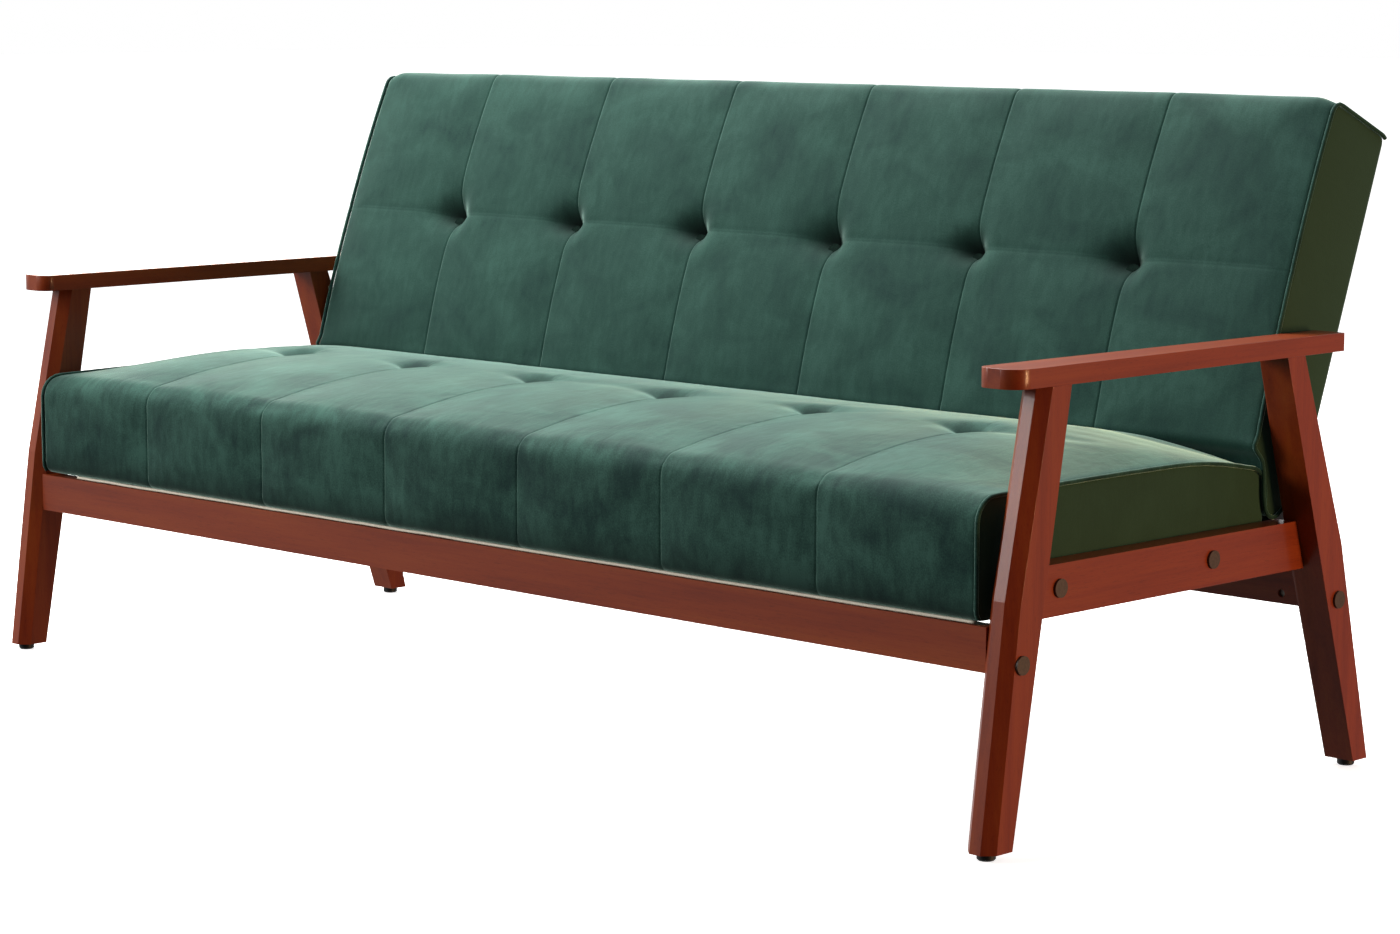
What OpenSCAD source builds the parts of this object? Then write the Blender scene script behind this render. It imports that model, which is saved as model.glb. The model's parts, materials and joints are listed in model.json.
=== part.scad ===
// Click-clack sofa bed: a wooden stand with armrests, one long seat, and a back that folds down
// flat behind it on two ratchet hinges. X runs along the sofa, Y from front to back, Z up.
// The origin is on the floor, under the middle of the whole.

/* [Overall] */
// Width over the outer faces of the legs
frame_w = 1870; // [1700:10:2000]
// Height of the armrests' top face
arm_top_h = 549; // [520:1:600]
// Front leg's foot to rear leg's foot, front edge to front edge
leg_spread = 709; // [680:1:760]

/* [Legs] */
// Thickness of a leg along the sofa
leg_t = 42; // [38:1:48]
// How far the front leg leans back between its foot and its widest point
front_rake_low = 37; // [25:1:45]
// How far the front leg leans back between its widest point and its top
front_rake_high = 50; // [40:1:60]
// How far the rear leg leans forward between its foot and its widest point
rear_rake_low = 93; // [80:1:100]
// How far the rear leg leans forward between its widest point and its top
rear_rake_high = 68; // [55:1:75]
// Depth of the front leg at its foot
front_foot_depth = 41; // [34:1:46]
// Depth of the rear leg at its foot
rear_foot_depth = 30; // [28:1:38]
// Depth of each leg at its widest point, level with the side rail
leg_mid_depth = 55; // [50:1:62]
// Depth of the front leg under the armrest
front_top_depth = 47; // [40:1:52]
// Depth of the rear leg under the armrest
rear_top_depth = 36; // [32:1:44]
// Chamfer of the front leg's two front corners
leg_chamfer = 13; // [4:1:15]
// Diameter of a foot glide
glide_d = 22; // [16:1:26]
// Height of a foot glide below the leg
glide_h = 9; // [5:1:14]

/* [Armrests] */
// Thickness of an armrest
arm_t = 22.5; // [20:0.5:30]
// Width of an armrest at its front end
arm_front_w = 60; // [56:1:75]
// Width of an armrest at its rear end
arm_rear_w = 45; // [43:1:47]
// How far an armrest stands out in front of the front leg
arm_front_overhang = 50; // [40:1:85]
// How far an armrest stands out behind the rear leg
arm_rear_overhang = 82; // [40:1:100]
// Radius of the armrest's outer front corner
arm_outer_r = 24; // [10:1:36]
// Radius of the armrest's inner front corner
arm_inner_r = 18; // [6:1:18]

/* [Rails] */
// How far the side rails stand up beside the seat, above its underside
side_rail_rise = 59; // [54:1:62]
// Height of a side rail's board
side_rail_h = 60; // [58:1:66]
// Thickness of a side rail
side_rail_t = 30; // [26:1:31]
// How far a side rail is set in from the legs' outer faces
side_rail_inset = 24; // [18:1:26]
// Gap between the seat's underside and the front and rear rails
under_seat_gap = 3; // [2:1:12]
// Height of the front and rear rails' boards
cross_rail_h = 52; // [45:1:60]
// Thickness of the front and rear rails
cross_rail_t = 24; // [20:1:30]
// How far the front rail is set back from the front leg's front face
front_rail_inset = 11; // [8:1:16]

/* [Seat] */
// Gap between each end of the seat and the side rail beside it
seat_end_gap = 1; // [0.5:0.5:4]
// Front feet's toes to the seat's front face
seat_setback = 35; // [20:1:60]
// Depth of the seat, front face to rear face
seat_depth = 549; // [500:1:560]
// Height of the seat's seam along its edges
seat_edge_h = 405; // [390:1:420]
// Thickness of the seat at its edges
seat_edge_t = 144; // [130:1:145]
// How far the seat's top is domed above its edge
seat_crown = 30; // [10:1:40]
// Radius of the seat's front edge
seat_front_r = 42; // [20:1:50]
// Radius of the seat's rear edge
seat_rear_r = 32; // [15:1:38]
// Front face of the seat to its row of tufts
seat_tuft_setback = 283; // [220:1:320]

/* [Back] */
// Gap between each end of the back and the leg beside it
back_end_gap = 10; // [8:0.5:20]
// Lean of the back from upright when it is locked up
back_lean = 20; // [15:1:25]
// Height of the back along its slope, above the hinge
back_h = 535; // [480:1:560]
// Thickness of the back at its top edge
back_top_t = 130; // [120:1:140]
// Thickness of the back low down, above its rounded heel
back_low_t = 127; // [114:0.5:130]
// How far the back's front face is domed
back_crown = 12; // [5:1:20]
// Top edge of the back to its row of tufts
back_tuft_drop = 242; // [180:1:260]

/* [Upholstery] */
// Number of sewn panels across the seat and the back
panel_count = 7; // [5:1:9]
// Width that a side seam takes off an end panel
end_take_up = 12.5; // [5:0.5:20]
// Thickness of the velvet with its wadding
cover_t = 3; // [2:0.5:4]
// Distance over which the dome falls away at each end
crown_run = 110; // [60:5:160]
// Diameter of a tuft's dimple at the surface
tuft_d = 76; // [50:1:90]
// Depth of a tuft's dimple
tuft_depth = 26; // [15:1:30]
// Diameter of a tuft button
button_d = 24; // [18:1:28]
// Thickness of a tuft button
button_t = 5; // [3:0.5:7]

/* [Inner frames] */
// Width of the frames' tube
tube_w = 25; // [20:1:30]
// Height of the seat frame's tube
seat_tube_h = 40; // [36:1:42]
// Height of the back frame's tube
back_tube_h = 25; // [20:1:28]
// Wall of the tubes
tube_wall = 1.5; // [1:0.5:3]
// Number of sprung slats in the seat, and in the back
slat_count = 14; // [8:2:16]
// Width of a slat
slat_w = 53; // [40:1:60]
// Thickness of a slat
slat_t = 8; // [6:0.5:10]
// How far a slat is bowed
slat_bow = 8; // [4:1:10]
// Depth of a slat holder
holder_l = 30; // [24:1:40]
// Foam between the front of the seat's cover and its frame
seat_front_foam = 12; // [8:1:20]
// Thickness of the lining under the seat
lining_t = 1.5; // [1:0.5:2]

/* [Hinges] */
// Hinge axis below the level of the seat's top, and behind the back's front face
hinge_drop = 115; // [112:1:120]
// Rear face of the seat to the hinge axis
hinge_setback = 45; // [42:1:52]
// Diameter of the ratchet drum
drum_d = 60; // [50:1:64]
// Width of the ratchet drum
drum_w = 13; // [10:1:16]
// Thickness of the hinge arms
hinge_arm_t = 5; // [4:0.5:6]
// Diameter of the pivot rivet
pivot_d = 12; // [10:1:14]
// Height of the seat arm's bar
hinge_bar_h = 28; // [24:1:32]

/* [Fasteners] */
// Diameter of the plastic caps over the bolts
cap_d = 22; // [20:0.5:26]
// How far a cap stands out of the wood
cap_h = 3; // [1:0.5:4]
// Depth of the counterbore under a cap
counterbore = 12; // [10:0.5:14]
// Diameter of the bolts in the front and rear rails
cross_bolt_d = 6; // [5:1:8]
// Diameter of the bolts that carry the seat, and of the hinge bolts
seat_bolt_d = 8; // [6:1:8]
// Front face of the seat to the forward seat bolt
seat_bolt_front = 113; // [95:1:130]
// Front face of the seat to the rear seat bolt
seat_bolt_rear = 403; // [330:1:410]
// Diameter of the dowels under the armrests
arm_dowel_d = 10; // [8:1:12]
// Diameter of the dowels at the ends of the side rails
rail_dowel_d = 8; // [6:1:10]

/* [Hidden] */
$fn = 48;
// Radial clearance of a pin in its hole
run_gap = 0.05;
// Clearance between pieces that lie against each other
seat_gap = 0.3;
// How far a cut runs past the face it opens
past = 1;
// How far the flat bed's level lies above the seat's edge seam
level_rise = 5;

// Heights
leg_top_h = arm_top_h - arm_t;
seat_bottom_h = seat_edge_h - seat_edge_t;
seat_level_h = seat_edge_h + level_rise;
side_rail_top_h = seat_bottom_h + side_rail_rise;
cross_rail_top_h = seat_bottom_h - under_seat_gap;
kink_h = side_rail_top_h - side_rail_h / 2;
side_rail_bottom_h = side_rail_top_h - side_rail_h;
cross_rail_mid_h = cross_rail_top_h - cross_rail_h / 2;

// Places along X, for the right-hand side
leg_out_x = frame_w / 2;
leg_in_x = leg_out_x - leg_t;
leg_mid_x = leg_out_x - leg_t / 2;
side_rail_out_x = leg_out_x - side_rail_inset;
side_rail_in_x = side_rail_out_x - side_rail_t;
seat_half = side_rail_in_x - seat_end_gap;
back_half = leg_in_x - back_end_gap;
panel_pitch = (2 * seat_half + 2 * end_take_up) / panel_count;
seam_x = [for (i = [1:panel_count - 1]) (i - panel_count / 2) * panel_pitch];
hinge_seat_arm_x = seat_half - cover_t - seat_gap - hinge_arm_t;
seat_frame_half = hinge_seat_arm_x;
drum_x = hinge_seat_arm_x - seat_gap - drum_w;
back_frame_half = drum_x - hinge_arm_t;

// Places along Y, measured from the front feet's toes
seat_rear_y = seat_setback + seat_depth;
hinge_y = seat_rear_y + hinge_setback;
hinge_h = seat_level_h - hinge_drop;
back_top_slope = 7;
back_top_rear = [back_h - back_top_slope, hinge_drop - back_top_t];
total_front_y = min(0, front_leg_y(leg_top_h) - arm_front_overhang);
total_rear_y = hinge_y + back_top_rear[0] * sin(back_lean) - back_top_rear[1] * cos(back_lean);
origin_y = (total_front_y + total_rear_y) / 2;

// Front edge and depth of each leg at a height
function front_leg_y(h) =
    lookup(h, [[glide_h, 0], [kink_h, front_rake_low], [leg_top_h, front_rake_low + front_rake_high]]);
function rear_leg_y(h) =
    leg_spread - lookup(h, [[glide_h, 0], [kink_h, rear_rake_low],
                            [leg_top_h, rear_rake_low + rear_rake_high]]);
function leg_depth(h, foot, top) = lookup(h, [[glide_h, foot], [kink_h, leg_mid_depth], [leg_top_h, top]]);
function front_leg_depth(h) = leg_depth(h, front_foot_depth, front_top_depth);
function rear_leg_depth(h) = leg_depth(h, rear_foot_depth, rear_top_depth);
function front_leg_mid_y(h) = front_leg_y(h) + front_leg_depth(h) / 2;
function rear_leg_mid_y(h) = rear_leg_y(h) + rear_leg_depth(h) / 2;
leg_heights = [glide_h, kink_h, leg_top_h];

// Places of the rails' bolts
front_rail_y = front_leg_y(cross_rail_mid_h) + front_rail_inset + cross_rail_t / 2;
rear_rail_y = rear_leg_y(cross_rail_top_h) + rear_leg_depth(cross_rail_top_h) - cross_rail_t / 2;
cross_bolt_drop = 13;
cross_bolt_h = cross_rail_mid_h - cross_bolt_drop;
seat_bolt_rise = 2;
seat_bolt_h = kink_h + seat_bolt_rise;
seat_bolt_ys = [seat_setback + seat_bolt_front, seat_setback + seat_bolt_rear];

// Points on an arc round a centre
function arc(centre, r, from, to, steps) =
    [for (i = [0:steps]) let (a = from + (to - from) * i / steps) centre + r * [cos(a), sin(a)]];

// An outline drawn anticlockwise, moved inwards by t all round
function inward(a, b) = let (d = (b - a) / norm(b - a)) [-d[1], d[0]];
function inset(outline, t) =
    let (n = len(outline))
    [for (i = [0:n - 1])
        let (before = inward(outline[(i + n - 1) % n], outline[i]),
             after = inward(outline[i], outline[(i + 1) % n]))
        outline[i] + t * (before + after) / (1 + before * after)];

// Puts a piece drawn from the front feet's toes into the part's own frame
module place() { translate([0, -origin_y, 0]) children(); }

// A piece of the right-hand side, and its mirror image on the left
module on_side(side) { place() mirror([side == "left" ? 1 : 0, 0, 0]) children(); }
module both_sides() {
    on_side("left") children();
    on_side("right") children();
}

// Extrudes an outline drawn in (Y, Z) along X, from x0 to x1
module along_x(x0, x1) {
    translate([x0, 0, 0]) rotate([90, 0, 90]) linear_extrude(height = x1 - x0) children();
}

// A cylinder along X, from x0 to x1, at a place in (Y, Z)
module rod_x(d, x0, x1, y, z) { translate([x0, y, z]) rotate([0, 90, 0]) cylinder(d = d, h = x1 - x0); }

// A cylinder along Y, from y0 to y1, at a place in (X, Z)
module rod_y(d, y0, y1, x, z) { translate([x, y0, z]) rotate([-90, 0, 0]) cylinder(d = d, h = y1 - y0); }

// ---- Armrests

module armrest_outline() {
    front = front_leg_y(leg_top_h) - arm_front_overhang;
    rear = rear_leg_y(leg_top_h) + rear_top_depth + arm_rear_overhang;
    inner = leg_out_x - arm_front_w;
    polygon(concat(
        arc([leg_out_x - arm_outer_r, front + arm_outer_r], arm_outer_r, 360, 270, 10),
        arc([inner + arm_inner_r, front + arm_inner_r], arm_inner_r, 270, 180, 8),
        [[leg_out_x - arm_rear_w, rear], [leg_out_x, rear]]));
}

arm_dowel_ys = [front_leg_mid_y(leg_top_h), rear_leg_mid_y(leg_top_h)];
arm_dowel_xs = [leg_mid_x - leg_t / 4, leg_mid_x + leg_t / 4];
arm_dowel_up = 0.6 * arm_t;
arm_dowel_down = 22;

module arm_dowel_set(extra_d, extra_l) {
    for (y = arm_dowel_ys, x = arm_dowel_xs)
        translate([x, y, leg_top_h - arm_dowel_down - extra_l])
            cylinder(d = arm_dowel_d + extra_d, h = arm_dowel_up + arm_dowel_down + 2 * extra_l);
}

module armrest() {
    difference() {
        translate([0, 0, leg_top_h]) linear_extrude(height = arm_t) armrest_outline();
        arm_dowel_set(2 * run_gap, seat_gap);
    }
}

// ---- Legs

module leg_body(front_edge, depth) {
    along_x(leg_in_x, leg_out_x) polygon(concat(
        [for (i = [0:2]) [front_edge[i] + depth[i], leg_heights[i]]],
        [for (i = [2:-1:0]) [front_edge[i], leg_heights[i]]]));
}

// Cuts one front corner along one straight stretch of the front edge
module corner_cut(x, toward, low, high) {
    rise = high[1] - low[1];
    lean = atan2(high[0] - low[0], rise);
    run = norm(high - low);
    translate([x, low[0], low[1]]) rotate([-lean, 0, 0]) translate([0, 0, -leg_mid_depth])
        linear_extrude(height = run + 2 * leg_mid_depth) polygon([
            [-toward * past, -past],
            [toward * (leg_chamfer + past), -past],
            [-toward * past, leg_chamfer + past]]);
}

// A cap's rim around its counterbore
cap_rim = 2;
bore_d = cap_d - 2 * cap_rim;
module counterbore_cut(x, y, z) { rod_x(bore_d, x - counterbore, x + past, y, z); }

module cross_bolt_holes(x0, y) {
    counterbore_cut(leg_out_x, y, cross_bolt_h);
    rod_x(cross_bolt_d + 0.6, x0, leg_out_x, y, cross_bolt_h);
}

rail_dowel_zs = [kink_h - side_rail_h / 4, kink_h + side_rail_h / 4];
rail_dowel_x = (leg_in_x + side_rail_out_x) / 2;
rail_dowel_half = 22;

module rail_dowel_set(extra_d, extra_l) {
    for (z = rail_dowel_zs, y = [front_leg_y(z) + front_leg_depth(z), rear_leg_y(z)])
        rod_y(rail_dowel_d + extra_d, y - rail_dowel_half - extra_l, y + rail_dowel_half + extra_l,
              rail_dowel_x, z);
}

glide_stem_d = 5;
glide_stem_l = 15;
glide_ys = [front_leg_mid_y(glide_h), rear_leg_mid_y(glide_h)];

module glide_holes() {
    for (y = glide_ys)
        translate([leg_mid_x, y, glide_h - past])
            cylinder(d = glide_stem_d + 2 * run_gap, h = glide_stem_l + seat_gap + past);
}

module front_leg() {
    edge = [for (h = leg_heights) front_leg_y(h)];
    difference() {
        leg_body(edge, [for (h = leg_heights) front_leg_depth(h)]);
        for (i = [0, 1], side = [-1, 1])
            corner_cut(side > 0 ? leg_in_x : leg_out_x, side,
                       [edge[i], leg_heights[i]], [edge[i + 1], leg_heights[i + 1]]);
        cross_bolt_holes(leg_in_x - past, front_rail_y);
        arm_dowel_set(2 * run_gap, seat_gap);
        rail_dowel_set(2 * run_gap, seat_gap);
        glide_holes();
    }
}

module rear_leg() {
    difference() {
        leg_body([for (h = leg_heights) rear_leg_y(h)], [for (h = leg_heights) rear_leg_depth(h)]);
        cross_bolt_holes(leg_in_x - past, rear_rail_y);
        arm_dowel_set(2 * run_gap, seat_gap);
        rail_dowel_set(2 * run_gap, seat_gap);
        glide_holes();
    }
}

// ---- Rails

module side_rail() {
    heights = [side_rail_bottom_h, kink_h, side_rail_top_h];
    difference() {
        along_x(side_rail_in_x, side_rail_out_x) polygon(concat(
            [for (h = heights) [rear_leg_y(h), h]],
            [for (i = [2:-1:0]) [front_leg_y(heights[i]) + front_leg_depth(heights[i]), heights[i]]]));
        rail_dowel_set(2 * run_gap, seat_gap);
        for (y = seat_bolt_ys) {
            counterbore_cut(side_rail_out_x, y, seat_bolt_h);
            rod_x(seat_bolt_d + 2 * run_gap, side_rail_in_x - past, side_rail_out_x, y, seat_bolt_h);
        }
    }
}

cross_bolt_end_x = leg_in_x - 46;
barrel_x = leg_in_x - 34;
barrel_d = 10;

module cross_rail(y, nut_side) {
    difference() {
        translate([-leg_in_x, y - cross_rail_t / 2, cross_rail_top_h - cross_rail_h])
            cube([2 * leg_in_x, cross_rail_t, cross_rail_h]);
        for (side = [-1, 1]) {
            rod_x(cross_bolt_d + 0.6, side > 0 ? cross_bolt_end_x - seat_gap : -leg_in_x - past,
                  side > 0 ? leg_in_x + past : seat_gap - cross_bolt_end_x, y, cross_bolt_h);
            rod_y(barrel_d + 2 * run_gap, nut_side > 0 ? y - cross_rail_t / 4 : y - cross_rail_t / 2 - past,
                  nut_side > 0 ? y + cross_rail_t / 2 + past : y + cross_rail_t / 4,
                  side * barrel_x, cross_bolt_h);
        }
    }
}

// ---- Fasteners and feet

bolt_head_h = 5;
cap_plug = 4;

module cross_bolt(y) {
    rod_x(cross_bolt_d, cross_bolt_end_x, leg_out_x - counterbore + bolt_head_h / 2, y, cross_bolt_h);
    rod_x(2.4 * cross_bolt_d, leg_out_x - counterbore, leg_out_x - counterbore + bolt_head_h,
          y, cross_bolt_h);
}

module barrel_nut(y, nut_side) {
    difference() {
        rod_y(barrel_d, nut_side > 0 ? y - cross_rail_t / 4 : y - cross_rail_t / 3,
              nut_side > 0 ? y + cross_rail_t / 3 : y + cross_rail_t / 4, barrel_x, cross_bolt_h);
        rod_x(cross_bolt_d + 2 * run_gap, barrel_x - barrel_d, barrel_x + barrel_d, y, cross_bolt_h);
    }
}

seat_bolt_end_x = seat_frame_half - tube_wall - 9;

module seat_bolt(y) {
    rod_x(seat_bolt_d, seat_bolt_end_x, side_rail_out_x - counterbore + bolt_head_h / 2, y, seat_bolt_h);
    rod_x(2 * seat_bolt_d, side_rail_out_x - counterbore, side_rail_out_x - counterbore + bolt_head_h,
          y, seat_bolt_h);
}

module cap(x, y, z) {
    rod_x(cap_d, x, x + cap_h, y, z);
    rod_x(bore_d - 2 * run_gap, x - cap_plug, x, y, z);
}

module glide(y) {
    translate([leg_mid_x, y, 0]) rotate_extrude() polygon([
        [0, 0], [glide_d / 2 - 2, 0], [glide_d / 2, 2], [glide_d / 2, glide_h],
        [glide_stem_d / 2, glide_h], [glide_stem_d / 2, glide_h + glide_stem_l],
        [0, glide_h + glide_stem_l]]);
}

// ---- Upholstery, shared

// Half of a domed edge, seen from the end: the height gained at a distance in from the end
function dome(crown, d) = crown * sin(90 * min(1, d / crown_run));

// Outline across the sofa of a domed cushion, from its underside to its domed top
function domed_outline(half, low, edge, crown) = concat(
    [[-half, low], [half, low]],
    [for (i = [0:6]) let (d = crown_run * i / 6) [half - d, edge + dome(crown, d)]],
    [for (i = [6:-1:0]) let (d = crown_run * i / 6) [d - half, edge + dome(crown, d)]]);

// Extrudes an outline drawn in (X, Z) along Y, from y0 to y1
module along_y(y0, y1) {
    translate([0, y1, 0]) rotate([90, 0, 0]) linear_extrude(height = y1 - y0) children();
}

// One dimple, with its mouth at z = 0, grown by t all round
module dimple(t) {
    translate([0, 0, -tuft_depth - t])
        cylinder(d1 = button_d + 2 + 2 * t, d2 = tuft_d + 2 * t, h = tuft_depth + t);
    translate([0, 0, -past]) cylinder(d = tuft_d + 2 * t, h = seat_crown);
}

module tuft_buttons(y, top) {
    for (x = seam_x)
        translate([x, y, top - tuft_depth + seat_gap]) cylinder(d = button_d, h = button_t);
}

// ---- Seat

seat_top_h = seat_edge_h + seat_crown;

function seat_dome_h(y) =
    let (s = (y - seat_setback) / seat_depth * 2 - 1) seat_edge_h + seat_crown * (1 - s * s);

seat_front_arc_h = seat_dome_h(seat_setback + seat_front_r) - seat_front_r;
seat_rear_arc_h = seat_dome_h(seat_rear_y - seat_rear_r) - seat_rear_r;
seat_outline = concat(
    [[seat_setback, seat_bottom_h], [seat_rear_y, seat_bottom_h]],
    arc([seat_rear_y - seat_rear_r, seat_rear_arc_h], seat_rear_r, 0, 80, 5),
    [for (i = [7:-1:1])
        let (y = seat_setback + seat_front_r + (seat_depth - seat_front_r - seat_rear_r) * i / 8)
        [y, seat_dome_h(y)]],
    arc([seat_setback + seat_front_r, seat_front_arc_h], seat_front_r, 100, 180, 6));

seat_tuft_y = seat_setback + seat_tuft_setback;

module seat_body(t) {
    difference() {
        intersection() {
            along_x(-seat_half, seat_half) polygon(inset(seat_outline, t));
            along_y(seat_setback, seat_rear_y)
                polygon(inset(domed_outline(seat_half, seat_bottom_h, seat_edge_h, seat_crown), t));
        }
        for (x = seam_x) translate([x, seat_tuft_y, seat_top_h]) dimple(t);
    }
}

seat_tube_low_h = seat_bottom_h + cover_t;
seat_tube_top_h = seat_tube_low_h + seat_tube_h;
seat_in_y0 = seat_setback + cover_t;
seat_in_y1 = seat_rear_y - cover_t;
seat_frame_y0 = seat_in_y0 + seat_front_foam;
seat_frame_y1 = seat_in_y1 - seat_gap;

module hinge_seat_slot() {
    translate([hinge_seat_arm_x - seat_gap, seat_in_y1 - past, seat_bottom_h - past])
        cube([hinge_arm_t + 2 * seat_gap, cover_t + 2 * past, seat_tube_h + cover_t + past]);
}

// ---- Inner frames, shared

// A rectangular frame of hollow tube with a middle bar, from y0 to y1 and z0 upwards
module tube_frame(half, y0, y1, z0, h) {
    difference() {
        translate([-half, y0, z0]) cube([2 * half, y1 - y0, h]);
        for (side = [-1, 1])
            translate([side > 0 ? tube_w / 2 : tube_w - half, y0 + tube_w, z0 - past])
                cube([half - 1.5 * tube_w, y1 - y0 - 2 * tube_w, h + 2 * past]);
        tube_hollow(half, y0, y1, z0, h);
    }
}

// The space inside the tubes of such a frame
module tube_hollow(half, y0, y1, z0, h) {
    difference() {
        translate([tube_wall - half, y0 + tube_wall, z0 + tube_wall])
            cube([2 * (half - tube_wall), y1 - y0 - 2 * tube_wall, h - 2 * tube_wall]);
        for (side = [-1, 1])
            translate([side > 0 ? tube_w / 2 - tube_wall : tube_w - half - tube_wall,
                       y0 + tube_w - tube_wall, z0])
                cube([half - 1.5 * tube_w + 2 * tube_wall, y1 - y0 - 2 * tube_w + 2 * tube_wall, h]);
    }
}

// A bowed slat between two holders, from y0 to y1, with its crown at z
function slat_rise(s) = slat_bow * (1 - pow(2 * s - 1, 2));
module slat(x, y0, y1, z) {
    steps = 8;
    under = [for (i = [0:steps]) let (s = i / steps)
        [y0 + (y1 - y0) * s, z - slat_t - slat_bow + slat_rise(s)]];
    along = [for (i = [steps:-1:0]) under[i] + [0, slat_t]];
    along_x(x - slat_w / 2, x + slat_w / 2) polygon(concat(under, along));
}

holder_wall = 3;
slat_end_gap = 8;
slat_slope = slat_bow * 4 * holder_l / 450;

// The plastic pocket that holds one end of a slat against the inner face of a tube
module slat_holder(x, y_tube, toward, z) {
    low = z - slat_t - slat_bow - holder_wall - seat_gap;
    high = z - slat_bow + slat_slope + seat_gap;
    y_low = toward > 0 ? y_tube : y_tube - holder_l;
    difference() {
        translate([x - slat_w / 2 - holder_wall, y_low, low])
            cube([slat_w + 2 * holder_wall, holder_l, high - low + holder_wall]);
        translate([x - slat_w / 2 - seat_gap, y_low + (toward > 0 ? holder_wall : -past),
                   low + holder_wall])
            cube([slat_w + 2 * seat_gap, holder_l - holder_wall + past, high - low]);
    }
}

// Middles of the slats: evenly spread between the end tubes, clear of the middle bar
function slat_xs(half) =
    let (bay = half - 1.5 * tube_w, pitch = bay / (slat_count / 2))
    [for (side = [-1, 1], i = [0:slat_count / 2 - 1]) side * (tube_w / 2 + pitch * (i + 0.5))];

module slats(half, y0, y1, z) {
    for (x = slat_xs(half)) slat(x, y0 + tube_w + slat_end_gap, y1 - tube_w - slat_end_gap, z);
}

module slat_holders(half, y0, y1, z) {
    for (x = slat_xs(half)) {
        slat_holder(x, y0 + tube_w, 1, z);
        slat_holder(x, y1 - tube_w, -1, z);
    }
}

// ---- Hinges

hinge_seat_arm_l = 118;
hinge_bolt_off = tube_w + 15;
hinge_bolt_pitch = 45;
hinge_bolt_ys = [seat_in_y1 - hinge_bolt_off - hinge_bolt_pitch, seat_in_y1 - hinge_bolt_off];
seat_bar_h = seat_tube_low_h + seat_tube_h / 2;

module hinge_seat_arm() {
    y0 = seat_in_y1 - hinge_seat_arm_l;
    r = hinge_bar_h / 2 + 5;
    difference() {
        along_x(hinge_seat_arm_x, hinge_seat_arm_x + hinge_arm_t) union() {
            translate([hinge_y, hinge_h]) circle(r = r);
            polygon([[y0, seat_bar_h - hinge_bar_h / 2], [seat_rear_y, seat_bar_h - hinge_bar_h / 2],
                     [hinge_y, hinge_h - r], [hinge_y, hinge_h + r],
                     [seat_rear_y, seat_bar_h + hinge_bar_h / 2], [y0, seat_bar_h + hinge_bar_h / 2]]);
        }
        rod_x(pivot_d + 2 * run_gap, hinge_seat_arm_x - past, hinge_seat_arm_x + hinge_arm_t + past,
              hinge_y, hinge_h);
        for (y = hinge_bolt_ys)
            rod_x(seat_bolt_d + 2 * run_gap, hinge_seat_arm_x - past, hinge_seat_arm_x + hinge_arm_t + past,
                  y, seat_bar_h);
    }
}

rivet_head_d = 20;
rivet_head_t = 3;

module hinge_pivot() {
    rod_x(pivot_d, back_frame_half - seat_gap, hinge_seat_arm_x + hinge_arm_t, hinge_y, hinge_h);
    rod_x(rivet_head_d, hinge_seat_arm_x + hinge_arm_t, hinge_seat_arm_x + hinge_arm_t + rivet_head_t,
          hinge_y, hinge_h);
    rod_x(rivet_head_d, back_frame_half - seat_gap - rivet_head_t, back_frame_half - seat_gap,
          hinge_y, hinge_h);
}

// A hinge bolt: its head lies against a tube's inner face and its thread ends in the hinge arm
module hinge_bolt(arm_x, y, z) {
    head_x = arm_x - tube_w;
    rod_x(seat_bolt_d, head_x - bolt_head_h / 2, arm_x + hinge_arm_t, y, z);
    rod_x(1.8 * seat_bolt_d, head_x - bolt_head_h, head_x, y, z);
}

// ---- Back, drawn lying flat: Y runs from the hinge to the top edge, Z from the rear face to the front

module back_place() {
    place() translate([0, hinge_y, hinge_h]) rotate([90 - back_lean, 0, 0]) children();
}

back_front_z = hinge_drop;
back_top_r = 14;
back_low_y = 140;

// The rounded heel, from its corner above the hinge to the rear face and to the front face
heel_y = 12;
heel_z = 41;
heel_bend_run = 20;
heel_bend_drop = 18;
heel_run = 63;
heel_drop = 33;
heel_lip_run = 7;
heel_lip_rise = 24;
heel_front_y = 60;
heel_front_cut = 30;

function back_dome_z(y) =
    let (s = (y - heel_front_y) / (back_h - heel_front_y) * 2 - 1) back_front_z + back_crown * (1 - s * s);

back_outline = concat(
    [[heel_y, heel_z], [heel_y + heel_bend_run, heel_z - heel_bend_drop],
     [heel_y + heel_run, heel_z - heel_drop], [back_low_y, hinge_drop - back_low_t], back_top_rear],
    arc([back_h - back_top_r, back_dome_z(back_h - back_top_r) - back_top_r], back_top_r, 0, 90, 3),
    [for (i = [7:-1:0])
        let (y = heel_front_y + (back_h - back_top_r - heel_front_y) * i / 8)
        [y, back_dome_z(y)]],
    [[heel_front_y - heel_front_cut, back_front_z - heel_front_cut],
     [heel_y + heel_lip_run, heel_z + heel_lip_rise]]);

// What the seat's rear edge takes out of the back, in the part's own Y and Z
tuck_gap = 3;
tuck_corner_drop = 9;
tuck_run = 29;
tuck_rise = 13;
module seat_tuck(t) {
    y = seat_rear_y + tuck_gap + t;
    z = seat_edge_h + t;
    place() along_x(-frame_w, frame_w) polygon([
        [-seat_depth, 0], [y, 0], [y, z - tuck_corner_drop], [y - tuck_run, z + tuck_rise],
        [-seat_depth, z + tuck_rise]]);
}

module back_body(t) {
    difference() {
        back_place() difference() {
            intersection() {
                along_x(-back_half, back_half) polygon(inset(back_outline, t));
                along_y(0, back_h) polygon(inset(
                    domed_outline(back_half, back_top_rear[1], back_front_z, back_crown), t));
            }
            for (x = seam_x) translate([x, back_h - back_tuft_drop, back_front_z + back_crown]) dimple(t);
        }
        seat_tuck(t);
    }
}

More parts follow.
